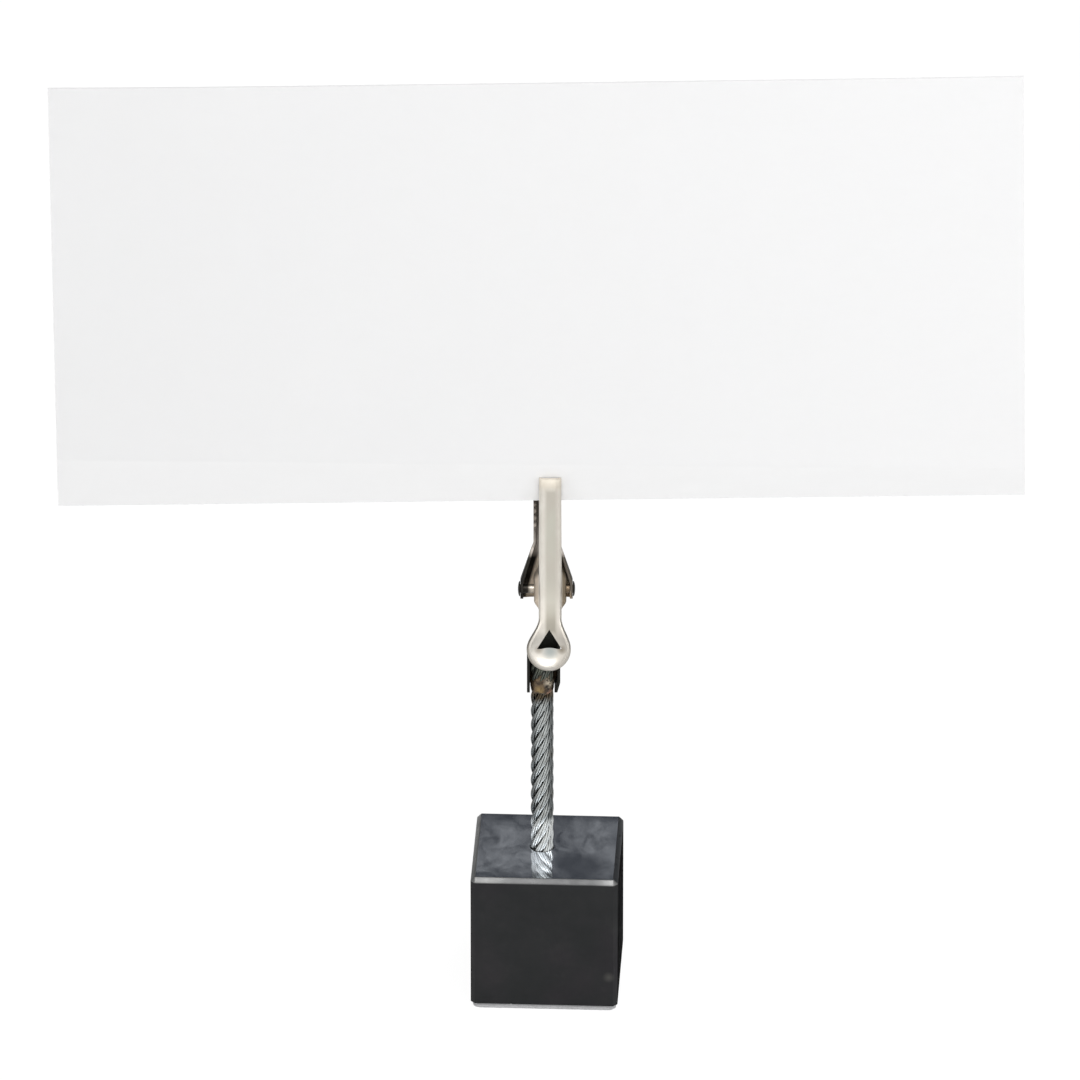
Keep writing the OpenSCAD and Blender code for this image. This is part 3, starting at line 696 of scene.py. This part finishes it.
# ---- materials
class Nodes:
    """Short calls that add nodes to a tree."""

    def __init__(self, owner):
        owner.use_nodes = True
        self.tree = owner.node_tree

    def add(self, kind, values=None, **settings):
        node = self.tree.nodes.new(kind)
        for key, value in settings.items():
            setattr(node, key, value)
        for key, value in (values or {}).items():
            self.put(node.inputs[key], value)
        return node

    def put(self, socket, value):
        if isinstance(value, bpy.types.NodeSocket):
            self.tree.links.new(value, socket)
        else:
            socket.default_value = value

    def maths(self, kind, a, b=0.0):
        return self.add("ShaderNodeMath", {0: a, 1: b}, operation=kind).outputs[0]

    def times(self, a, b):
        return self.maths("MULTIPLY", a, b)

    def plus(self, a, b):
        return self.maths("ADD", a, b)

    def greater(self, a, b):
        return self.maths("MAXIMUM", a, b)

    def rest_of(self, share):
        return self.maths("SUBTRACT", 1.0, share)


class Shader(Nodes):
    """A Principled material with short calls for its patterns and masks."""

    def __init__(self, name, **settings):
        self.material = bpy.data.materials.new(name)
        super().__init__(self.material)
        self.surface = self.tree.nodes["Principled BSDF"]
        self.place = self.add("ShaderNodeTexCoord").outputs["Object"]
        for key, value in settings.items():
            self.set(key.replace("_", " "), value)

    def set(self, name, value):
        self.put(self.surface.inputs[name], value)

    def stretched(self, scale, turn=(0, 0, 0)):
        return self.add("ShaderNodeMapping", {
            "Vector": self.place, "Scale": scale, "Rotation": turn}).outputs[0]

    def noise(self, scale, detail=4.0, rough=0.55, at=None, distortion=0.0):
        return self.add("ShaderNodeTexNoise", {
            "Vector": at or self.place, "Scale": scale, "Detail": detail, "Roughness": rough,
            "Distortion": distortion}).outputs["Fac"]

    def voronoi(self, scale):
        return self.add("ShaderNodeTexVoronoi", {
            "Vector": self.place, "Scale": scale}).outputs["Distance"]

    def spread(self, value, low, high, to_low=0.0, to_high=1.0):
        return self.add("ShaderNodeMapRange", {
            "Value": value, "From Min": low, "From Max": high,
            "To Min": to_low, "To Max": to_high}).outputs[0]

    def colours(self, value, *stops):
        ramp_node = self.add("ShaderNodeValToRGB", {"Fac": value})
        elements = ramp_node.color_ramp.elements
        while len(elements) < len(stops):
            elements.new(0.5)
        for element, (position, colour) in zip(elements, stops):
            element.position, element.color = position, (*colour, 1)
        return ramp_node.outputs["Color"]

    def mixed(self, fac, a, b):
        a, b = [(*c, 1) if isinstance(c, tuple) else c for c in (a, b)]
        return self.add("ShaderNodeMix", {0: fac, 6: a, 7: b}, data_type="RGBA").outputs[2]

    def roughen(self, pattern, low, high):
        self.set("Roughness", self.spread(pattern, 0.3, 0.7, low, high))

    def bump(self, height, strength, distance, under=None):
        values = {"Height": height, "Strength": strength, "Distance": distance}
        if under:
            values["Normal"] = under
        return self.add("ShaderNodeBump", values).outputs["Normal"]

    def axes(self, vector=None):
        return self.add("ShaderNodeSeparateXYZ", {"Vector": vector or self.place}).outputs

    def facing(self, axis):
        """How far a surface looks along an axis."""
        return self.axes(self.add("ShaderNodeNewGeometry").outputs["Normal"])[axis]

    def above(self, low, high):
        """0 below one height in millimetres and 1 above another, or the reverse."""
        return self.spread(self.axes()["Z"], low * MM, high * MM)

    def off_side(self, middle, low, high):
        """0 nearer to a place across the clip than one distance and 1 beyond another."""
        across = self.maths("SUBTRACT", self.axes()["X"], middle * MM)
        return self.spread(self.maths("ABSOLUTE", across), low * MM, high * MM)

    def slant(self, low, high, normal=None):
        """0 where a surface is looked at squarely and 1 where it is seen edge on."""
        values = {"Normal": normal} if normal else {}
        return self.spread(self.add("ShaderNodeLayerWeight", values).outputs["Facing"], low, high)

    def near(self, place, low, high):
        """1 within one distance of a place in millimetres and 0 beyond another."""
        away = self.add("ShaderNodeVectorMath", {0: self.place, 1: tuple(c * MM for c in place)},
                        operation="DISTANCE")
        return self.spread(away.outputs["Value"], low * MM, high * MM, 1, 0)


def block_side_material():
    """Black satin coat: fine grain, faint uneven patches and a few pale specks, and painted
    shade that turns it near black where a side is seen edge on.
    """
    s = Shader("block_black_satin")
    patches, tint = s.noise(160, 5, 0.6), s.noise(90, 2)
    base = s.colours(patches, (0.3, (0.012, 0.0132, 0.014)), (0.55, (0.0165, 0.0172, 0.0182)),
                     (0.75, (0.024, 0.0245, 0.025)))
    base = s.mixed(s.spread(tint, 0.48, 0.7, 0, 0.35), base, (0.024, 0.017, 0.024))
    specks = s.times(s.spread(s.voronoi(900), 0.05, 0.0), s.spread(s.noise(240, 2), 0.62, 0.7))
    nick = s.near(BLOCK_TURN @ Vector((9.0, -BASE_D / 2, 5.4)), 0.1, 0.9)
    pale = s.greater(s.times(specks, 0.35), s.times(nick, 0.3))
    base = s.mixed(pale, base, (0.16, 0.158, 0.14))
    # Painted shade: the colour goes near black, and the IOR falls, where a side is seen edge on.
    aslant = s.slant(0.45, 0.9)
    s.set("Base Color", s.mixed(aslant, base, (0.002, 0.002, 0.0025)))
    s.set("IOR", s.spread(aslant, 0, 1, 1.31, 1.02))
    s.roughen(s.noise(300), 0.5, 0.68)
    grain = s.bump(s.noise(5200, 3, 0.6), 0.25, 0.00002)
    s.set("Normal", s.bump(s.noise(420, 3), 0.12, 0.00005, grain))
    return s.material


def block_top_material():
    """Polished black top that mirrors the cable, under a cloudy blue-grey haze."""
    s = Shader("block_polished_top", Base_Color=(0.84, 0.88, 0.94, 1))
    clouds = s.noise(330, 6, 0.66, at=s.stretched((1, 0.6, 1)), distortion=0.8)
    wipes = s.noise(110, 4, 0.6, at=s.stretched((1, 0.7, 1), (0, 0, 0.4)))
    haze = s.times(s.spread(clouds, 0.26, 0.7), s.spread(wipes, 0.15, 0.66))
    clear = s.near((4.5, -5.5, BASE_TOP), 2.0, 5.5)
    haze = s.times(haze, s.spread(clear, 0, 1, 0.325, 0.06))
    depth = s.axes(s.stretched((1, 1, 1), (0, 0, -BASE_TURN)))["Y"]
    haze = s.times(haze, s.spread(s.maths("ABSOLUTE", depth), 7.2 * MM, 9.0 * MM, 1, 0.35))
    dust = s.spread(s.voronoi(1500), 0.09, 0.02)
    s.set("Metallic", s.rest_of(s.plus(haze, s.times(dust, 0.03))))
    s.set("Roughness", s.spread(haze, 0.0, 0.25, 0.05, 0.13))
    s.set("Normal", s.bump(s.noise(700, 3), 0.04, 0.00003))
    return s.material


def block_edge_material():
    """Bevels: the coat is rubbed to bright steel towards both ends of the front bevel, and the
    right bevel is kept dark by painted shade.
    """
    s = Shader("block_rubbed_bevel")
    rub = s.noise(380, 5, 0.65, at=s.stretched((0.35, 0.35, 0.35)))
    place = s.axes(s.stretched((1, 1, 1), (0, 0, -BASE_TURN)))

    def across(low, high, to_low=0.0, to_high=1.0):
        return s.spread(place["X"], low * MM, high * MM, to_low, to_high)

    in_front = s.spread(place["Y"], -9.0 * MM, -9.3 * MM)
    ends = s.times(s.greater(across(-3.6, -7.0), across(6.4, 9.2)), s.times(in_front, 0.42))
    # Painted shade: the right bevel loses its rubbed patches and most of its gloss, so it stays
    # dark.
    on_right = s.times(across(8.8, 9.4), s.rest_of(in_front))
    bare = s.plus(s.greater(ends, across(9.0, -9.0, 0.02, 0.26)),
                  s.times(s.spread(rub, 0.3, 0.7, 0.01, 0.13), s.rest_of(on_right)))
    s.set("Base Color", s.mixed(bare, (0.026, 0.028, 0.031), (0.36, 0.36, 0.355)))
    s.set("IOR", s.spread(on_right, 0, 1, 1.5, 1.12))
    s.set("Metallic", s.times(bare, 0.9))
    s.roughen(s.noise(900), 0.25, 0.4)
    s.set("Normal", s.bump(s.noise(1800, 3), 0.1, 0.00003))
    return s.material


def felt_material():
    """Grey felt: loose fibres under a soft sheen."""
    s = Shader("pad_grey_felt", Roughness=0.95, IOR=1.4, Sheen_Weight=0.5, Sheen_Roughness=0.6)
    fibres = s.noise(2600, 6, 0.7, at=s.stretched((1, 1, 2.2)), distortion=1.2)
    s.set("Base Color", s.colours(fibres, (0.3, (0.42, 0.42, 0.43)), (0.55, (0.58, 0.58, 0.59)),
                                  (0.75, (0.7, 0.7, 0.71))))
    s.set("Normal", s.bump(fibres, 0.6, 0.00012))
    return s.material


def steel_wire_material():
    """Drawn steel: painted shade darkens the cable's sides and its grooves, painted light makes it
    paler just above the block, and it is burnt brown at the solder's collar, with painted
    shade higher up inside the clip's trough."""
    s = Shader("cable_drawn_steel", Metallic=1.0)
    lines, film = s.noise(3200, 4, 0.6, at=s.stretched((1, 1, 0.12))), s.noise(260, 4, 0.6)
    base = s.colours(film, (0.3, (0.48, 0.51, 0.505)), (0.55, (0.58, 0.605, 0.595)),
                     (0.8, (0.66, 0.68, 0.67)))
    base = s.mixed(s.spread(lines, 0.35, 0.7, 0.25, 0.0), base, (0.34, 0.36, 0.36))
    place = s.axes()
    outward = s.add("ShaderNodeCombineXYZ", {
        "X": s.maths("SUBTRACT", place["X"], CABLE_X * MM), "Y": place["Y"]}).outputs[0]
    outward = s.add("ShaderNodeVectorMath", {0: outward}, operation="NORMALIZE").outputs[0]
    # Painted shade: the wires darken towards the cable's sides, where they turn away from view.
    base = s.mixed(s.times(s.slant(0.17, 0.38, outward), 0.74), base, (0.02, 0.026, 0.028))
    # Painted light: the cable is painted paler for a few millimetres above the block, for light
    # thrown back off the block's shiny top.
    painted_bounce_light = s.above(BASE_TOP + 5.2, BASE_TOP + 4.2)
    base = s.mixed(s.times(painted_bounce_light, 0.8), base, (0.80, 0.82, 0.81))
    soot = s.noise(700)
    scorched_and_shaded = s.plus(s.above(TROUGH_Z0 - 2.6, TROUGH_Z0 - 0.6),
                      s.spread(soot, 0.35, 0.65, -0.3, 0.3))
    burnt = s.colours(soot, (0.35, (0.035, 0.028, 0.018)), (0.65, (0.12, 0.095, 0.065)))
    # Painted shade: higher inside the trough, under the thumb pad, the cable takes these dark
    # grey-green colours; the brown ones lower down, at the solder's collar, are burning.
    inside = s.colours(soot, (0.35, (0.045, 0.05, 0.04)), (0.65, (0.17, 0.18, 0.15)))
    burnt = s.mixed(s.above(TROUGH_Z0 + 1.0, TROUGH_Z0 + 2.0), burnt, inside)
    s.set("Base Color", s.mixed(scorched_and_shaded, base, burnt))
    s.roughen(film, 0.36, 0.46)
    s.set("Normal", s.bump(lines, 0.25, 0.00002))
    return s.material


def spring_material():
    """Drawn spring wire: lines along it, faint stains and pits."""
    s = Shader("spring_wire_steel", Metallic=1.0)
    dark = (0.3, 0.3, 0.29)
    lines, stains = s.noise(2600, 5, 0.6, at=s.stretched((1, 1, 0.06))), s.noise(420, 4, 0.6)
    base = s.colours(stains, (0.28, dark), (0.5, (0.45, 0.45, 0.44)), (0.72, (0.55, 0.55, 0.54)))
    base = s.mixed(s.spread(lines, 0.3, 0.7, 0.16, 0.0), base, dark)
    pitted = s.times(s.spread(s.voronoi(2400), 0.1, 0.03), s.spread(s.noise(500, 2), 0.55, 0.7))
    s.set("Base Color", s.mixed(s.times(pitted, 0.5), base, (0.22, 0.2, 0.17)))
    s.roughen(stains, 0.36, 0.24)
    s.set("Normal", s.bump(s.noise(620, 2), 0.1, 0.00006, s.bump(lines, 0.12, 0.00002)))
    return s.material


def rear_jaw_material():
    """Dark steel: black at the left ear, brown at the right ear, paler down the nose's side and
    dark behind. Painted light lifts the insides beside the lever to tan and brown, and
    painted shade blackens the hollow inside the left ear and the jaw round the trough."""
    s = Shader("rear_jaw_dark_painted_light_and_shade", IOR=1.3)
    blots = s.noise(520, 4, 0.6, distortion=0.4)
    place, slope = s.axes(), 0.26
    across = s.maths("SUBTRACT", place["X"], CLIP_X * MM)
    right = s.spread(across, -0.5 * MM, 0.5 * MM)
    outer = s.mixed(right, (0.012, 0.011, 0.009), (0.085, 0.073, 0.06))
    # Painted light: the insides beside the lever lie in deep shade, and are given a bright tan on
    # the left and a lighter brown on the right so that they read lit.
    inner = s.mixed(right, (0.95, 0.83, 0.68), (0.55, 0.44, 0.31))
    lean = s.plus(s.times(place["Z"], slope), s.times(place["Y"], slope / 2))
    from_middle = s.maths("ABSOLUTE", s.plus(across, REAR_SHIFT / 2 * MM))
    # Beyond this slanted line the outer colours take over; on the left their black also stands for
    # painted shade in the hollow between the walls.
    far = s.spread(s.plus(lean, from_middle),
                   (slope * PIVOT_Z + 2.4) * MM, (slope * PIVOT_Z + 2.75) * MM)
    base = s.mixed(far, inner, outer)
    side = s.mixed(s.above(NOSE_Z - 10.5, NOSE_Z - 6.5),
                   (0.6, 0.55, 0.5), (0.2, 0.175, 0.15))
    base = s.mixed(s.spread(lean, slope * (PIVOT_Z + 3.8) * MM, slope * (PIVOT_Z + 4.8) * MM),
                   base, side)
    base = s.mixed(s.spread(s.facing("Y"), 0.3, 0.6), base, (0.07, 0.062, 0.05))
    base = s.mixed(s.spread(blots, 0.4, 0.7, 0, 0.4), base, (0.04, 0.033, 0.024))
    # Painted shade: from below the ears down round the trough, under the thumb pad, the jaw is
    # painted near black.
    trough = s.above(PIVOT_Z - 4.0, PIVOT_Z - 6.0)
    s.set("Base Color", s.mixed(trough, base, (0.013, 0.013, 0.01)))
    s.set("Metallic", s.spread(far, 0, 1, 0.15, 0.6))
    s.roughen(blots, 0.6, 0.42)
    s.set("Normal", s.bump(blots, 0.12, 0.00005))
    return s.material


def on_pad(across, up):
    """A place on the front jaw's handle, from the middle of the thumb pad."""
    return (CLIP_X + across, *(lever_point(THUMB_CENTRE) + up * heading(HANDLE_ANGLE)))


def front_jaw_material():
    """Warm nickel plate with drawn lines and faint stains, and a stripe down the middle that is
    darker below the pivot. Painted light and shade: the rims are brighter than the stripe,
    the right-hand rims darker, the ears tan and brown, a bluish reflection lies at the
    window's sill, its lower corners are darker and so is the thumb pad's outer edge."""
    s = Shader("front_jaw_nickel")
    lines, stains = s.noise(2600, 5, 0.6, at=s.stretched((1, 1, 0.06))), s.noise(420, 4, 0.6)
    # Painted highlight: the rims along the folds are painted brighter than the stripe down the
    # middle, for the folds catching the light.
    rims = s.colours(stains, (0.28, (0.76, 0.715, 0.64)), (0.72, (0.88, 0.84, 0.765)))
    middle = s.colours(s.noise(170, 2), (0.3, (0.62, 0.575, 0.505)), (0.65, (0.63, 0.615, 0.535)))
    middle = s.mixed(s.above(PIVOT_Z - 0.8, PIVOT_Z - 3.0), middle, (0.45, 0.42, 0.355))
    tip = s.above(NOSE_Z - 1.4, NOSE_Z - 0.6)
    pad = s.above(PIVOT_Z - 4.4, PIVOT_Z - 5.4)
    rim = s.greater(s.off_side(CLIP_X + 0.1, 0.5, 0.95), s.greater(tip, pad))
    rims = s.mixed(tip, s.mixed(pad, rims, (0.585, 0.558, 0.51)), (0.74, 0.7, 0.63))
    base = s.mixed(rim, middle, rims)
    base = s.mixed(s.spread(lines, 0.3, 0.7, 0.12, 0.0), base, (0.56, 0.52, 0.45))
    across = s.axes()["X"]
    # Painted shade: the right-hand rims are painted darker.
    right_rim = s.spread(across, (CLIP_X + 0.6) * MM, (CLIP_X + 0.9) * MM, 0, 0.3)
    base = s.mixed(right_rim, base, (0.46, 0.42, 0.36))
    # Painted shade: the ears are painted tan on the left and dark brown on the right, and made
    # less metallic, so they read shaded.
    ears = s.times(s.off_side(CLIP_X, 1.5, 1.72), s.above(PIVOT_Z - 4.0, PIVOT_Z - 3.0))
    right = s.spread(across, (CLIP_X - 0.5) * MM, (CLIP_X + 0.5) * MM)
    base = s.mixed(ears, base, s.mixed(right, (0.5, 0.425, 0.34), (0.19, 0.15, 0.1)))
    # Painted reflection: a bluish patch at the window's sill stands in for a reflection in the
    # dished pad.
    base = s.mixed(s.times(s.near(on_pad(0, -0.35), 0.3, 1.35), 0.85), base, (0.3, 0.35, 0.35))
    # Painted shade: dark patches at the window's lower corners stand in for shade in the corners
    # of the opening.
    corners = s.greater(*(s.near(on_pad(side, -0.1), 0.2, 0.8) for side in (-1.5, 1.5)))
    base = s.mixed(s.times(corners, 0.9), base, (0.17, 0.135, 0.09))
    # Painted shade: the thumb pad's outer edge is painted darker, for the shade on its turned-down
    # wall.
    beyond = s.times(s.rest_of(s.near(on_pad(0, 0), 2.85, 3.0)), pad)
    s.set("Base Color", s.mixed(s.times(beyond, 0.7), base, (0.36, 0.33, 0.28)))
    s.set("Metallic", s.spread(ears, 0, 1, 1, 0.4))
    rough = s.plus(s.spread(stains, 0.3, 0.7, 0.4, 0.28), s.times(tip, 0.45))
    s.set("Roughness", s.plus(rough, s.times(pad, 0.08)))
    s.set("Normal", s.bump(s.noise(620, 2), 0.08, 0.00006, s.bump(lines, 0.1, 0.00002)))
    return s.material


def rivet_material():
    """Cream shaft on the left, burnt brown on the right, and black peened heads."""
    s = Shader("rivet_scorched", Metallic=0.9)
    blots = s.noise(600)
    right = s.spread(s.axes()["X"], (CLIP_X - 1) * MM, (CLIP_X + 1) * MM)
    shaft = s.mixed(right, (0.6, 0.54, 0.455), (0.24, 0.18, 0.12))
    base = s.mixed(s.off_side(CLIP_X, 2.6, 3.1), shaft, (0.02, 0.018, 0.015))
    base = s.mixed(s.spread(blots, 0.45, 0.7, 0, 0.35), base, (0.05, 0.04, 0.03))
    s.set("Base Color", base)
    s.roughen(blots, 0.5, 0.32)
    return s.material


def solder_material():
    """Burnt solder: brown, gold and beige flux spots at its collar, and above it painted shade
    that makes it near black deep in the trough.
    """
    s = Shader("solder_scorched", Metallic=0.45)
    blots = s.noise(1100, 5, 0.65, distortion=0.8)
    burnt = s.colours(blots, (0.3, (0.018, 0.014, 0.01)), (0.5, (0.075, 0.05, 0.03)),
                      (0.62, (0.16, 0.11, 0.06)), (0.78, (0.24, 0.2, 0.15)))
    spots = [((-0.4, -1.0, 0.5), (0.1, 0.9), (0.34, 0.23, 0.1)),  # gold
             ((1.15, -0.72, 1.7), (0.4, 1.2), (0.6, 0.52, 0.4)),  # beige
             ((1.0, -0.78, 0.1), (0.2, 0.6), (0.34, 0.19, 0.13))]  # rust
    for (x, depth, rise), edge, colour in spots:
        spot = s.near((CABLE_X + x, depth * CABLE_R, TROUGH_Z0 + rise), *edge)
        burnt = s.mixed(s.times(spot, s.spread(blots, 0.36, 0.5)), burnt, colour)
    # Painted shade: above its collar, deep in the trough behind the cable, the solder is painted
    # near black.
    above = s.above(TROUGH_Z0 + 2.2, TROUGH_Z0 + 2.9)
    s.set("Base Color", s.mixed(above, burnt, (0.03, 0.033, 0.028)))
    s.roughen(blots, 0.55, 0.35)
    s.set("Normal", s.bump(blots, 0.3, 0.0001))
    return s.material


def card_material():
    """Smooth off-white card stock: faint fibres, slight cloudiness and a soft tooth, with painted
    light that makes it paler towards the right and on the upright strip below the crease.
    """
    s = Shader("card_stock", Roughness=0.62, IOR=1.42, Specular_IOR_Level=0.3)
    fibres = s.noise(900, 5, 0.6, at=s.stretched((0.5, 1, 1.6)), distortion=0.8)
    # Painted light: the card's colour grows paler from its left end to its right end.
    across = s.spread(s.axes()["X"], -CARD_W / 2 * MM, CARD_W / 2 * MM)
    base = s.mixed(across, (0.853, 0.853, 0.856), (0.922, 0.922, 0.925))
    base = s.mixed(s.spread(s.noise(45, 3, 0.5), 0.3, 0.7, 0.0, 0.25), base, (0.91, 0.91, 0.912))
    # Painted light: faces that don't tilt upward, such as the upright strip below the crease, are
    # painted paler.
    strip = s.spread(s.facing("Z"), 0.08, 0.02)
    base = s.mixed(s.times(strip, 0.6), base, (0.95, 0.95, 0.95))
    s.set("Base Color", s.mixed(s.spread(fibres, 0.35, 0.7, 0.05, 0.0), base, (0.8, 0.8, 0.79)))
    tooth = s.bump(s.noise(3000, 4, 0.6), 0.12, 0.00002)
    s.set("Normal", s.bump(fibres, 0.05, 0.00003, tooth))
    return s.material


# ---- dressing the frame
def dress(piece, body, slot, node_name, *materials):
    for material in materials:
        piece.data.materials.append(material)
    if body:
        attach(piece, body)
    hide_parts(node_name)
    return piece


def paint_block(block):
    """Sides, top and bevels take the first, second and third finish by the way they look."""
    square_on = BLOCK_TURN.to_3x3().inverted()
    for face in block.data.polygons:
        normal, centre = square_on @ face.normal, face.center / MM
        flat = max(abs(c) for c in normal) > 0.999
        bevelled = centre.z > BASE_TOP - BASE_BEVEL - 0.1
        in_socket = hypot(centre.x - CABLE_X, centre.y) < CABLE_R + 0.3
        face.material_index = 0
        if flat and normal.z > 0.9 and centre.z > BASE_TOP - 0.2:
            face.material_index = 1
        elif not flat and bevelled and not in_socket:
            face.material_index = 2


def dress_all():
    paint_block(dress(make_block(), STAND, "block", "base_block", block_side_material(),
                      block_top_material(), block_edge_material()))
    dress(make_pad(), STAND, "pad", "foot_pad", felt_material())
    wire = steel_wire_material()
    dress(make_core(), STAND, "cable", "cable_core", wire)
    for number in range(1, STRANDS + 1):
        dress(make_strand(number), STAND, "cable", f"cable_strand_{number}", wire)
    dress(make_solder(), STAND, "solder", "solder_joint", solder_material())
    dress(make_rear_jaw(), STAND, "rear_jaw", "rear_jaw", rear_jaw_material())
    dress(make_front_jaw(), LEVER, "front_jaw", "front_jaw", front_jaw_material())
    dress(make_rivet(), STAND, "rivet", "pivot_rivet", rivet_material())
    spring = dress(make_spring(), None, "spring", "torsion_spring", spring_material())
    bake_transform(spring)
    dress(make_card(), CARD, "card", "place_card", card_material())


# ---- floor, light and camera
def bare_nodes(owner):
    """Calls for the emptied tree of a world or a new material."""
    nodes = Nodes(owner)
    nodes.tree.nodes.clear()
    return nodes


def make_world(ambient):
    """Soft light from all round, and plain white to the camera and in reflections."""
    bpy.context.scene.world = bpy.data.worlds.new("studio")
    n = bare_nodes(bpy.context.scene.world)
    path = n.add("ShaderNodeLightPath").outputs
    seen = n.greater(n.greater(path["Is Camera Ray"], path["Is Glossy Ray"]),
                     path["Is Transmission Ray"])
    soft, white = [n.add("ShaderNodeBackground", {"Color": (1, 1, 1, 1), "Strength": strength})
                   for strength in (ambient, 1)]
    choose = n.add("ShaderNodeMixShader", {0: seen, 1: soft.outputs[0], 2: white.outputs[0]})
    n.add("ShaderNodeOutputWorld", {"Surface": choose.outputs[0]})


def studio_piece(name, finish, points, faces):
    """A piece of the studio, and the calls for its material's empty tree."""
    piece = mesh_piece(name, points, faces)
    piece.data.materials.append(bpy.data.materials.new(finish))
    return piece, bare_nodes(piece.data.materials[0])


def make_floor(white_share, whiteness):
    """White table top: mostly the backdrop's own white to the camera, so the shadow is soft."""
    reach, sides = 6000, 96
    rim = [(x, y, 0) for x, y in circle((0, 0), reach, sides)]
    floor, n = studio_piece("floor", "white_table", rim, [tuple(range(sides))])
    share = n.times(n.add("ShaderNodeLightPath").outputs["Is Camera Ray"], white_share)
    matt = n.add("ShaderNodeBsdfDiffuse", {"Color": (0.9, 0.9, 0.9, 1)})
    glow = n.add("ShaderNodeEmission", {"Strength": whiteness})
    choose = n.add("ShaderNodeMixShader", {0: share, 1: matt.outputs[0], 2: glow.outputs[0]})
    n.add("ShaderNodeOutputMaterial", {"Surface": choose.outputs[0]})


def make_studio_wall(grey):
    """Grey studio wall behind and beside the table that curves over it, met only by
    reflections. Each ring is (radius, height, degrees past the half turn)."""
    rings = [(1100, 0, 12), (1100, 1000, 12), (900, 1200, 2), (600, 1370, 2), (300, 1460, 2),
             (20, 1490, 2)]
    steps = 48
    points, faces = [], []
    for radius, z, beyond in rings:
        for a in np.radians(np.linspace(-beyond, 180 + beyond, steps + 1)):
            points.append((radius * cos(a), radius * sin(a), z))
    for i in range(len(rings) - 1):
        for j in range(steps):
            a = i * (steps + 1) + j
            faces.append((a, a + 1, a + steps + 2, a + steps + 1))
    shell, n = studio_piece("studio_wall", "studio_wall", points, faces)
    glow = n.add("ShaderNodeEmission", {"Color": (*grey, 1)})
    n.add("ShaderNodeOutputMaterial", {"Surface": glow.outputs[0]})
    for flag in ("camera", "diffuse", "transmission", "volume_scatter", "shadow"):
        setattr(shell, "visible_" + flag, False)


def looking_in(name, data, azimuth, elevation, distance, aim):
    """A lamp or camera that looks at a place, given in metres, from a direction."""
    a, e = radians(azimuth), radians(elevation)
    away = Vector((sin(a) * cos(e), -cos(a) * cos(e), sin(e)))
    holder = new_piece(name, data)
    holder.location = Vector(aim) + away * distance
    holder.rotation_euler = away.to_track_quat("Z", "Y").to_euler()
    return holder


def softbox(name, azimuth, elevation, distance, size, radiance):
    """A soft rectangular lamp that faces the clip. Radiance is its brightness as seen."""
    lamp = bpy.data.lights.new(name, "AREA")
    lamp.shape, lamp.size, lamp.size_y = "RECTANGLE", *size
    lamp.energy = radiance * pi * size[0] * size[1]
    holder = looking_in(name, lamp, azimuth, elevation, distance, (0, 0, 0.07))
    holder.visible_camera = False


def make_camera():
    """A long lens at the photograph's viewing angle. The span is the frame's width there."""
    distance, span = 2.4, 0.1485
    lens = bpy.data.cameras.new("camera")
    lens.sensor_width = 36
    lens.lens = lens.sensor_width * distance / span
    lens.clip_end = 50
    bpy.context.scene.camera = looking_in("camera", lens, 0, 27.7, distance, (-0.001, 0, 0.06855))


dress_all()
make_world(ambient=0.42)
make_floor(white_share=0.86, whiteness=1.08)
make_studio_wall(grey=(0.04, 0.043, 0.05))
softbox("key", 12, 60, 1.0, (0.8, 0.5), 5.0)
softbox("fill_left", -62, 30, 1.1, (0.3, 0.7), 1.2)
softbox("fill_right", 66, 30, 1.1, (0.3, 0.7), 1.75)
make_camera()
bpy.context.scene.view_settings.view_transform = "Standard"
